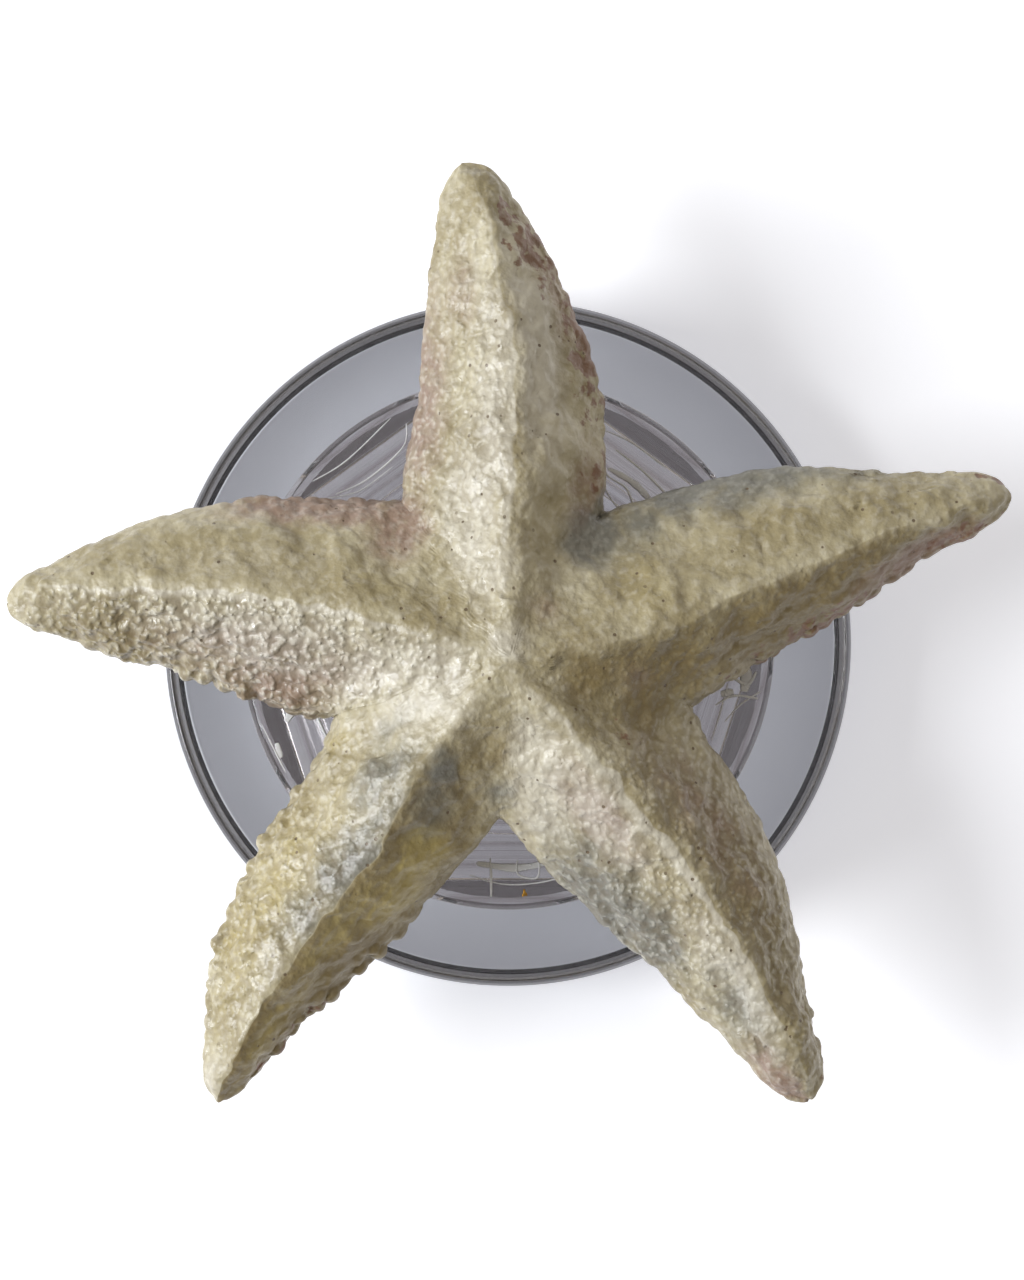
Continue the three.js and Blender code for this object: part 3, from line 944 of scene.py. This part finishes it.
def gilt_finish():
    """Thin gold leaf, creased."""
    recipe = Recipe("gilt_fleck")
    crease = recipe.noise(0.4 * MM, 3)
    return recipe.finish({
        "Base Color": recipe.blend((0.75, 0.42, 0.08, 1), (0.35, 0.16, 0.03, 1), crease),
        "Roughness": 0.3,
        "Metallic": 1.0,
        "Normal": recipe.bump(crease, 0.5, 0.1 * MM),
    })


# ---------------------------------------------------------------------------
# Settings
# ---------------------------------------------------------------------------

def length_setting(name, description, default):
    """A length that a user may change, in metres."""
    return FloatProperty(name=name, description=description, default=default, min=0.0,
                         unit="LENGTH", precision=5)


def colour_setting(name, description, default):
    """A colour that a user may change."""
    return FloatVectorProperty(name=name, description=description, default=default, size=3,
                               min=0.0, max=1.0, subtype="COLOR")


class StarfishSettings(bpy.types.PropertyGroup):
    """Sizes and colours of the starfish's skin."""

    granule_size: length_setting("Granule size", "Distance between neighbouring granules", 1.15 * MM)
    granule_height: length_setting("Granule height", "How far a granule stands up", 0.24 * MM)
    cream: colour_setting("Cream", "Pale ground colour", (0.55, 0.49, 0.325))
    olive: colour_setting("Olive", "Deeper ground colour", (0.35, 0.29, 0.155))
    # Painted highlight white: on bead crowns, as flecks for glints and as the pearl sheen.
    painted_highlight_white: colour_setting("Crown white", "Tops of the granules", (0.76, 0.72, 0.62))
    # Painted shade, laid between the beads, in low places between granules and in the pits.
    painted_recess_shade: colour_setting("Umber", "Gaps between granules and pits", (0.16, 0.11, 0.06))
    rose: colour_setting("Rose", "Rose-brown wash", (0.31, 0.20, 0.155))
    slate: colour_setting("Slate", "Warm grey wash", (0.20, 0.195, 0.165))
    # Also painted shade on the facets turned away from the light.
    bark: colour_setting("Bark", "Dark brown wash", (0.235, 0.175, 0.072))
    rust: colour_setting("Rust", "Red-brown wash at the margins", (0.22, 0.105, 0.058))
    amber: colour_setting("Amber", "Yellow wash", (0.48, 0.385, 0.14))


class StandSettings(bpy.types.PropertyGroup):
    """Sizes and colours of the clear stand and the glue."""

    segments: IntProperty(name="Segments", description="Steps round each clear disc", default=240,
                          min=24, max=720)
    plastic_roughness: FloatProperty(name="Roughness", description="Roughness of the clear plastic",
                                     default=0.03, min=0.0, max=1.0, subtype="FACTOR")
    foot_tint: colour_setting("Foot tint", "Colour of light through the foot", (0.915, 0.93, 0.955))
    riser_tint: colour_setting("Riser tint", "Colour of light through the riser", (0.88, 0.845, 0.84))
    glue: colour_setting("Glue", "Colour of the set glue", (0.90, 0.90, 0.91))


class StageSettings(bpy.types.PropertyGroup):
    """The plain studio round the object."""

    floor_colour: colour_setting("Floor", "Colour of the floor", (0.95, 0.95, 0.95))
    floor_glow: colour_setting("Floor glow", "Light from below the floor", (0.385, 0.395, 0.44))
    floor_size: length_setting("Floor size", "Side of the square floor", 4.0)
    camera_height: length_setting("Camera height", "From the starfish's margin to the camera", 0.4)
    key_power: FloatProperty(name="Key power", description="Power of the soft window-like light",
                             default=12.0, min=0.0, unit="POWER")
    world_strength: FloatProperty(name="Room light", description="Light from all round", default=0.22,
                                  min=0.0)


# ---------------------------------------------------------------------------
# Pieces
# ---------------------------------------------------------------------------

class STARFISH_OT_body(bpy.types.Operator):
    """Build the granular starfish over its solid"""

    bl_idname = "starfish.body"
    bl_label = "Starfish body"

    def execute(self, context):
        settings = context.scene.starfish
        points, triangles, layers = smooth_body()
        points = soften(points, layers)
        washes = wash_layers(points, layers)
        points, raised = raise_granules(points, triangles, layers, settings)
        points += STARFISH_OFFSET
        shown = {**raised, **washes}
        skin = varnished_skin(settings)
        piece = add_piece("starfish_body", points, triangles, skin, "dried_starfish", shown)
        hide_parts("starfish")
        return {"FINISHED"}


# Spines beside the grooves, in millimetres. A row runs from that far out to that short of the tip. A
# root is set into the body, and a tip leans over the groove by the lean, give or take the spread.
SPINES_FROM, SPINES_SHORT_OF_TIP, SPINE_PITCH = 17.0, 1.5, 1.05
SPINE_LENGTH, SPINE_RADIUS, SPINE_ROOT = 1.5, 0.3, 0.5
SPINE_LEAN, SPINE_SPREAD = 0.5, 0.4
# Where a root is, as shares of the way out to the margin and of the margin's height.
SPINE_ACROSS, SPINE_DEPTH = 0.2, 0.8
SPINE_PROFILE = ((0, 1), (0.5, 0.95), (0.8, 0.7), (1, 0), (0, 0))
SPINE_SIDES, SPINE_SEED = 7, 71


def spine_places(index, side):
    """Evenly spaced roots along one side of an arm's groove, and the way each spine leans."""
    ribs = side_of_arm(index, side)
    outwards = ribs["end"] - ribs["foot"]
    inwards = -outwards / np.maximum(np.linalg.norm(outwards, axis=1, keepdims=True), 1e-9)
    height = ribs["margin"] + ribs["lift"] - SPINE_DEPTH * ribs["fall"] + SPINE_ROOT
    line = np.column_stack((ribs["foot"] + outwards * SPINE_ACROSS, height + STARFISH_LOW[2] / MM))
    run = np.concatenate(([0], np.cumsum(np.linalg.norm(np.diff(line, axis=0), axis=1))))
    start = np.interp(SPINES_FROM, np.linalg.norm(line[:, :2], axis=1), run)
    at = np.arange(start, run[-1] - SPINES_SHORT_OF_TIP, SPINE_PITCH)
    return [np.column_stack([np.interp(at, run, axis) for axis in way.T]) for way in (line, inwards)]


def groove_spines():
    """Two rows of short blunt spines beside the groove under each arm, leaning over it.

    Each is one small turned shape hung from its root, a fixed share of the way out to the margin,
    with its own length and lean. Hanging it mirrors it, so its triangles are wound the other way.
    Returns (points, triangles, how near each point is to a tip).
    """
    shape, faces = turned(SPINE_PROFILE, SPINE_SIDES)
    places = [spine_places(index, side) for index in range(len(ARMS)) for side in (LEFT, RIGHT)]
    roots, leans = (np.vstack(ways) for ways in zip(*places))
    chance = hashed(np.round(roots * 10), SPINE_SEED)
    length = SPINE_LENGTH * (0.75 + 0.35 * chance[:, 0])
    leans = leans * SPINE_LEAN + SPINE_SPREAD * (chance[:, 1:] - 0.5)
    points = np.repeat(roots[:, None], len(shape), axis=1)
    points[..., :2] += shape[:, :2] * SPINE_RADIUS + leans[:, None] * shape[:, 2:]
    points[..., 2] -= length[:, None] * shape[:, 2]
    triangles = faces + (np.arange(len(roots)) * len(shape))[:, None, None]
    tips = np.tile(shape[:, 2], len(roots))
    return points.reshape(-1, 3), triangles.reshape(-1, 3)[:, ::-1], tips


class STARFISH_OT_spines(bpy.types.Operator):
    """Hang the rows of small spines beside the groove of each arm"""

    bl_idname = "starfish.spines"
    bl_label = "Groove spines"

    def execute(self, context):
        points, triangles, tips = groove_spines()
        skin = bpy.data.objects["starfish_body"].data.materials[0]
        # crown falls towards each spine's root, where the skin paints a little shade.
        layers = {"crown": mix(0.3, 1, tips), "grain": np.full(len(points), 0.7)}
        points += STARFISH_OFFSET
        add_piece("groove_spines", points, triangles, skin, "dried_starfish", layers)
        return {"FINISHED"}


def rounded(corners, radius, steps=4):
    """A profile of (radius, height) corners with each inner corner rounded by a quadratic arc.

    The arc starts and stops at the same distance from its corner on both sides: radius, or 0.45 of
    the shorter side where that is less.
    """
    corners = np.asarray(corners, float)
    shares = np.linspace(0, 1, steps + 1)[:, None]
    path = [corners[:1]]
    for before, corner, after in zip(corners[:-2], corners[1:-1], corners[2:]):
        back, on = before - corner, after - corner
        room = min(radius, 0.45 * np.linalg.norm(back), 0.45 * np.linalg.norm(on))
        start = corner + back / np.linalg.norm(back) * room
        stop = corner + on / np.linalg.norm(on) * room
        halfway = 2 * shares * (1 - shares) * corner
        path.append((1 - shares) ** 2 * start + halfway + shares ** 2 * stop)
    path.append(corners[-1:])
    return np.vstack(path)


# Foot, in millimetres: its bevels, the rim standing over the top, and the ridges of its edge.
FOOT_BEVEL, RIM_WIDTH, RIM_STEP = 0.9, 1.5, 0.4
RIDGES, RIDGE_DEPTH = 5, 0.3
SLACK = 0.01
# How deep the painted shade of the plastic is at its rim and round its edge, from 0 to 1.
RIM_DARK, EDGE_DARK = 0.9, 0.64
# Edges of the clear discs that bend more than this stay crisp.
CREASE = math.radians(40)


class STARFISH_OT_foot(bpy.types.Operator):
    """Build the clear foot with its ridged edge and low rim"""

    bl_idname = "starfish.foot"
    bl_label = "Clear foot"

    def execute(self, context):
        settings = context.scene.starfish_stand
        radius, height = FOOT_HIGH[0] / MM, FOOT_HIGH[2] / MM
        pitch = (height - 2 * FOOT_BEVEL) / RIDGES
        corners = [(0, 0), (radius - FOOT_BEVEL, 0), (radius, FOOT_BEVEL)]
        for ridge in range(RIDGES):
            low = FOOT_BEVEL + ridge * pitch
            corners += [(radius - RIDGE_DEPTH, low + pitch / 2), (radius, low + pitch)]
        inside, top = radius - RIM_WIDTH, height - RIM_STEP
        corners += [(radius - FOOT_BEVEL / 2, height), (inside, height)]
        corners += [(inside - RIM_STEP, top), (0, top)]
        points, triangles = turned(rounded(corners, 0.25), settings.segments)
        outer = np.linalg.norm(points[:, :2], axis=1) > inside - RIM_STEP - SLACK
        on_rim = points[:, 2] > height - FOOT_BEVEL
        # Painted shade on the rim and round the edge of the foot.
        layers = {"dark": outer * np.where(on_rim, RIM_DARK, EDGE_DARK)}
        plastic = clear_plastic("clear_foot_plastic", settings.foot_tint, settings, 14 * MM, 0.0)
        piece = add_piece("clear_foot", points, triangles, plastic, "foot_plastic", layers, CREASE)
        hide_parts("foot")
        return {"FINISHED"}


# Steps of the hollow under the riser: radius and depth. It is a circle cut straight on five sides.
RISER_STEPS = (
    (27.0, 0.9), (26.2, 1.1), (24.8, 1.5), (24.2, 1.6), (22.4, 1.9), (21.8, 2.1), (20.6, 2.05),
    (20.4, 2.25), (19.0, 2.15), (18.8, 2.4), (17.4, 2.3), (17.2, 2.55), (15.8, 2.45), (15.6, 2.6),
)
# Its outer bevels, the slope at the mouth of the hollow, and a ring of points on its flat top.
RISER_BEVEL, RISER_LIP, RISER_INSET = 0.6, 0.25, 0.4
# Rings on the land just outside the mouth, which carry the thin line of painted shade round it.
LAND_STEPS = (0.05, 0.1, 0.15)
MOUTH_DARK = 0.93
# The straight sides: how many, their distance from the axis as a share, the turn of one in degrees.
HOLLOW_SIDES, HOLLOW_FLAT, HOLLOW_FLAT_AT = 5, 0.94, 54.0


def from_flat(turn):
    """Angle from the middle of the nearest straight side of the hollow."""
    step = 2 * math.pi / HOLLOW_SIDES
    turns = (turn - math.radians(HOLLOW_FLAT_AT)) / step
    return (turns - np.round(turns)) * step


def riser_profile():
    """The riser's profile from the middle of its hollow, round its edge, to the middle of its top.

    Returns it with the number of rows, up to the hollow's mouth, that the straight sides cut.
    """
    radius = RISER_HIGH[0] / MM
    low, high = RISER_LOW[2] / MM, RISER_HIGH[2] / MM
    edge = RISER_STEPS[0][0]
    mouth = edge + RISER_LIP
    hollow = [(0, low + RISER_STEPS[-1][1])]
    hollow += [(step, low + depth) for step, depth in reversed(RISER_STEPS)]
    hollow = rounded(hollow + [(mouth, low)], 0.3)
    land = [(mouth + step, low) for step in LAND_STEPS]
    outside = [land[-1], (radius - RISER_BEVEL, low), (radius, low + RISER_BEVEL)]
    outside += [(radius, high - RISER_BEVEL), (radius - RISER_BEVEL, high)]
    outside += [(edge - RISER_INSET, high), (0, high)]
    return np.vstack((hollow, land, rounded(outside, 0.2)[1:])), len(hollow) + 1


class STARFISH_OT_riser(bpy.types.Operator):
    """Build the clear riser with the stepped five-sided hollow in its underside"""

    bl_idname = "starfish.riser"
    bl_label = "Clear riser"

    def execute(self, context):
        settings = context.scene.starfish_stand
        profile, flat_rows = riser_profile()

        def straightened(turn, rings):
            pull = np.minimum(1, HOLLOW_FLAT / np.cos(from_flat(turn)))
            straight = smooth(20, 24, rings) * (np.arange(rings.shape[1]) < flat_rows)
            return rings * mix(1, pull, straight)

        points, triangles = turned_grid(profile, settings.segments, straightened)
        row = np.tile(np.arange(len(profile)), settings.segments)
        at_mouth = (row == flat_rows - 1) | (row == flat_rows)
        kept, triangles = welded(points, triangles)
        points = points[kept]
        turn = np.arctan2(points[:, 1], points[:, 0])
        from_axis = np.linalg.norm(points[:, :2], axis=1)
        # Painted shade along the mouth of the hollow, a little deeper towards -X; band sets out the
        # painted reflection.
        dark = at_mouth[kept] * (MOUTH_DARK - 0.07 * np.cos(turn))
        layers = {"dark": dark, "band": from_axis * np.cos(from_flat(turn)) * 0.9}
        plastic = clear_plastic("clear_riser_plastic", settings.riser_tint, settings, 9 * MM, 0.9)
        piece = add_piece("clear_riser", points, triangles, plastic, "riser_plastic", layers, CREASE)
        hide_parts("riser")
        return {"FINISHED"}


# Strings and smears of glue on top of the riser: points in plan, half width, height by width.
GLUE_STRINGS = (
    (((10.0, 17.0), (11.5, 14.6), (13.2, 14.2), (12.6, 16.4), (10.6, 17.8), (9.6, 19.6)), 0.13, 1.0),
    (((11.4, 20.6), (14.2, 18.4), (17.0, 15.6), (19.6, 12.4)), 0.14, 0.8),
    (((10.6, 18.6), (13.6, 16.8), (16.4, 13.6)), 0.32, 0.2),
    (((9.8, 22.8), (13.0, 21.4), (16.8, 18.6)), 0.09, 1.0),
    (((21.2, -1.8), (23.6, -3.4), (25.4, -4.4), (26.4, -3.0)), 0.20, 0.5),
    (((24.6, -1.9), (25.3, -3.2), (25.1, -5.2)), 0.60, 0.1),
    (((22.0, -6.6), (24.0, -5.6), (26.6, -5.9)), 0.14, 1.0),
    (((22.6, -5.4), (24.0, -5.2)), 0.45, 0.12),
    (((23.0, -8.4), (24.6, -6.6), (26.9, -5.1)), 0.09, 1.0),
    (((21.6, -10.4), (22.6, -7.2), (23.4, -4.2)), 0.08, 1.0),
    (((-21.4, -3.4), (-20.6, -7.0), (-19.0, -10.6)), 0.16, 0.8),
    (((-24.4, -4.6), (-22.8, -6.2), (-23.6, -8.4)), 0.55, 0.12),
    (((-26.2, -8.6), (-25.0, -11.0), (-23.6, -13.8)), 0.09, 1.0),
    (((-24.6, -10.6), (-24.2, -12.2)), 0.35, 0.15),
    (((-20.8, 17.2), (-17.2, 19.4), (-12.4, 24.0)), 0.08, 1.0),
    (((-18.4, 15.8), (-15.0, 17.4), (-11.2, 20.8), (-10.8, 23.4)), 0.10, 1.0),
    (((-19.2, 15.4), (-15.8, 16.2), (-12.2, 18.8)), 0.07, 1.0),
    (((-4.2, -24.6), (-0.6, -25.6), (3.6, -25.4), (7.8, -24.2)), 0.08, 1.0),
    (((-1.9, -22.8), (-1.8, -25.0), (-1.8, -27.0)), 0.15, 0.6),
    (((1.0, -23.0), (1.1, -24.6), (3.1, -24.9), (3.3, -22.8)), 0.10, 1.0),
    (((-3.4, -23.4), (0.8, -23.9), (4.4, -23.3)), 0.40, 0.1),
)
STRING_STEPS, STRING_SEED = 40, 61
FLECK_PLACE = (1.75, -26.6)
FLECK_PROFILE = ((0, 0), (0.20, 0), (0.26, 0.05), (0.18, 0.12), (0, 0.14))
FLECK_SIDES = 20


def glue_string(corners, width, flatness, top):
    """An oval string along a smooth curve, rippled and tapered to closed ends, sunk a little in top."""
    at = np.linspace(0, 1, STRING_STEPS)
    taper = mix(0.25, 1, np.sqrt(np.sin(math.pi * np.linspace(0.02, 0.98, len(at)))))
    plan = through(corners, at)
    ripple = 0.7 + 0.6 * rolling(np.column_stack((plan, at)), 0.8, STRING_SEED)
    height = np.full((len(at), 1), top + 0.7 * width * flatness)
    radii = width * taper * ripple
    radii[[0, -1]] = 0
    return carried_tube(np.hstack((plan, height)), radii, flatness=flatness)


def gilt_fleck(top):
    """A small low turned scrap with a three-lobed outline, longer one way, lying on top."""
    def ragged(turn, rings):
        return rings * (1 + 0.35 * np.cos(3 * turn + 1))

    points, triangles = turned(rounded(FLECK_PROFILE, 0.1), FLECK_SIDES, ragged)
    return points * (1.0, 1.5, 1.0) + (*FLECK_PLACE, top + 0.02), triangles


class STARFISH_OT_strings(bpy.types.Operator):
    """Draw the strings of glue pulled out over the riser, and a fleck of gilt left beside them"""

    bl_idname = "starfish.strings"
    bl_label = "Glue strings and fleck"

    def execute(self, context):
        settings = context.scene.starfish_stand
        top = RISER_HIGH[2] / MM
        points, triangles = joined([glue_string(*string, top) for string in GLUE_STRINGS])
        kept, triangles = welded(points, triangles)
        add_piece("glue_strings", points[kept], triangles, set_glue_finish(settings), "glue")
        add_piece("gilt_fleck", *gilt_fleck(top), gilt_finish(), "glue")
        return {"FINISHED"}


# Pad of set glue, in millimetres: its greatest radius and the one at its faces, before its lobes.
PAD_RADIUS, PAD_FACE_RADIUS = 15.0, 14.3


class STARFISH_OT_glue(bpy.types.Operator):
    """Build the pad of set glue under the starfish"""

    bl_idname = "starfish.glue"
    bl_label = "Set glue"

    def execute(self, context):
        settings = context.scene.starfish_stand
        low, high = PAD_LOW[2] / MM, PAD_HIGH[2] / MM
        corners = [(0, low), (PAD_FACE_RADIUS, low), (PAD_RADIUS, (low + high) / 2)]
        corners += [(PAD_FACE_RADIUS, high), (0, high)]

        def lobed(turn, rings):
            return rings * (1 + 0.09 * np.cos(5 * turn + 1) + 0.02 * np.cos(13 * turn))

        points, triangles = turned(rounded(corners, 0.3), settings.segments, lobed)
        piece = add_piece("set_glue", points, triangles, set_glue_finish(settings), "glue")
        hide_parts("glue_pad")
        return {"FINISHED"}


FLOOR_LINES = 9
FLOOR_GAP = 0.02
# Each light: place in metres, side, share of the key power, colour.
WINDOW_LIGHT = ((-0.87, -0.06, 0.66), 0.5, 1.0, (0.93, 0.96, 1.0))
FILL_LIGHT = ((0.5, 0.35, 0.9), 0.8, 0.13, (1.0, 0.93, 0.84))
ROOM_COLOUR = (1.0, 0.94, 0.86, 1.0)
CAMERA_PLACE = (0.42, 0.34)
FRAMED_HEIGHT = 134.4
SENSOR = 36.0


def area_light(scene, name, key_power, place, side, share, colour):
    """A square soft light aimed at the origin."""
    light = bpy.data.lights.new(name, "AREA")
    light.shape = "SQUARE"
    light.size = side
    light.energy = key_power * share
    light.color = colour
    lamp = bpy.data.objects.new(name, light)
    lamp.location = place
    lamp.rotation_euler = (-lamp.location).to_track_quat("-Z", "Y").to_euler()
    scene.collection.objects.link(lamp)


class STARFISH_OT_stage(bpy.types.Operator):
    """Lay the floor and set the soft light and the camera straight above"""

    bl_idname = "starfish.stage"
    bl_label = "Studio stage"

    def execute(self, context):
        scene = context.scene
        settings = scene.starfish_stage
        self.floor(scene, settings)
        self.lights(scene, settings)
        self.camera(scene, settings)
        return {"FINISHED"}

    def floor(self, scene, settings):
        """A flat square grid just under the foot."""
        half = settings.floor_size / 2
        steps = np.linspace(-half, half, FLOOR_LINES)
        x, y = np.meshgrid(steps, steps, indexing="ij")
        below = np.full_like(x, CAD_BOX[0][2] - FLOOR_GAP * MM)
        points = np.stack((x, y, below), axis=-1).reshape(-1, 3)
        patch = np.arange(FLOOR_LINES ** 2).reshape(FLOOR_LINES, FLOOR_LINES)
        quads = np.stack((patch[:-1, :-1], patch[1:, :-1], patch[1:, 1:], patch[:-1, 1:]), axis=-1)
        mesh = bpy.data.meshes.new("studio_floor")
        mesh.from_pydata(points.tolist(), [], quads.reshape(-1, 4).tolist())
        mesh.materials.append(floor_finish(settings))
        floor = bpy.data.objects.new("studio_floor", mesh)
        scene.collection.objects.link(floor)

    def lights(self, scene, settings):
        """A wide soft light from the left, a faint one from above right and an even room."""
        area_light(scene, "window_light", settings.key_power, *WINDOW_LIGHT)
        area_light(scene, "fill_light", settings.key_power, *FILL_LIGHT)
        world = bpy.data.worlds.new("studio_room")
        world.use_nodes = True
        room = world.node_tree.nodes["Background"]
        room.inputs["Color"].default_value = ROOM_COLOUR
        room.inputs["Strength"].default_value = settings.world_strength
        scene.world = world
        scene.view_settings.view_transform = "Standard"

    def camera(self, scene, settings):
        """Looks straight down, with FRAMED_HEIGHT from top to bottom at the starfish's margin."""
        margin = STARFISH_LOW[2] + MARGIN_HEIGHT * MM
        x, y = CAMERA_PLACE
        lens = bpy.data.cameras.new("camera")
        lens.sensor_width = SENSOR
        lens.lens = SENSOR * settings.camera_height / (FRAMED_HEIGHT * MM)
        lens.clip_start = 0.01
        camera = bpy.data.objects.new("camera", lens)
        camera.location = (x * MM, y * MM, margin + settings.camera_height)
        scene.collection.objects.link(camera)
        scene.camera = camera


# ---------------------------------------------------------------------------
# Panel, registration and the build
# ---------------------------------------------------------------------------

OPERATORS = (
    STARFISH_OT_stage, STARFISH_OT_foot, STARFISH_OT_riser, STARFISH_OT_glue, STARFISH_OT_strings,
    STARFISH_OT_body, STARFISH_OT_spines,
)


class STARFISH_PT_panel(bpy.types.Panel):
    """Lists the pieces and the settings"""

    bl_idname = "STARFISH_PT_panel"
    bl_label = "Starfish on a stand"
    bl_space_type = "VIEW_3D"
    bl_region_type = "UI"
    bl_category = "Starfish"

    def draw(self, context):
        for operator in OPERATORS:
            self.layout.operator(operator.bl_idname)
        scene = context.scene
        for settings in (scene.starfish, scene.starfish_stand, scene.starfish_stage):
            box = self.layout.box()
            for name in settings.__annotations__:
                box.prop(settings, name)


GROUPS = {
    "starfish": StarfishSettings,
    "starfish_stand": StandSettings,
    "starfish_stage": StageSettings,
}


def register():
    """Makes the classes known and hangs the settings on the scene."""
    for cls in (*GROUPS.values(), *OPERATORS, STARFISH_PT_panel):
        bpy.utils.register_class(cls)
    for name, group in GROUPS.items():
        setattr(bpy.types.Scene, name, PointerProperty(type=group))


def unregister():
    """Takes the settings and the classes away again."""
    for name in GROUPS:
        delattr(bpy.types.Scene, name)
    for cls in (STARFISH_PT_panel, *reversed(OPERATORS), *GROUPS.values()):
        bpy.utils.unregister_class(cls)


def main():
    """Registers the add-on and builds the stage and every piece."""
    register()
    bpy.ops.starfish.stage()
    bpy.ops.starfish.foot()
    bpy.ops.starfish.riser()
    bpy.ops.starfish.glue()
    bpy.ops.starfish.strings()
    bpy.ops.starfish.body()
    bpy.ops.starfish.spines()


if __name__ == "__main__":
    main()
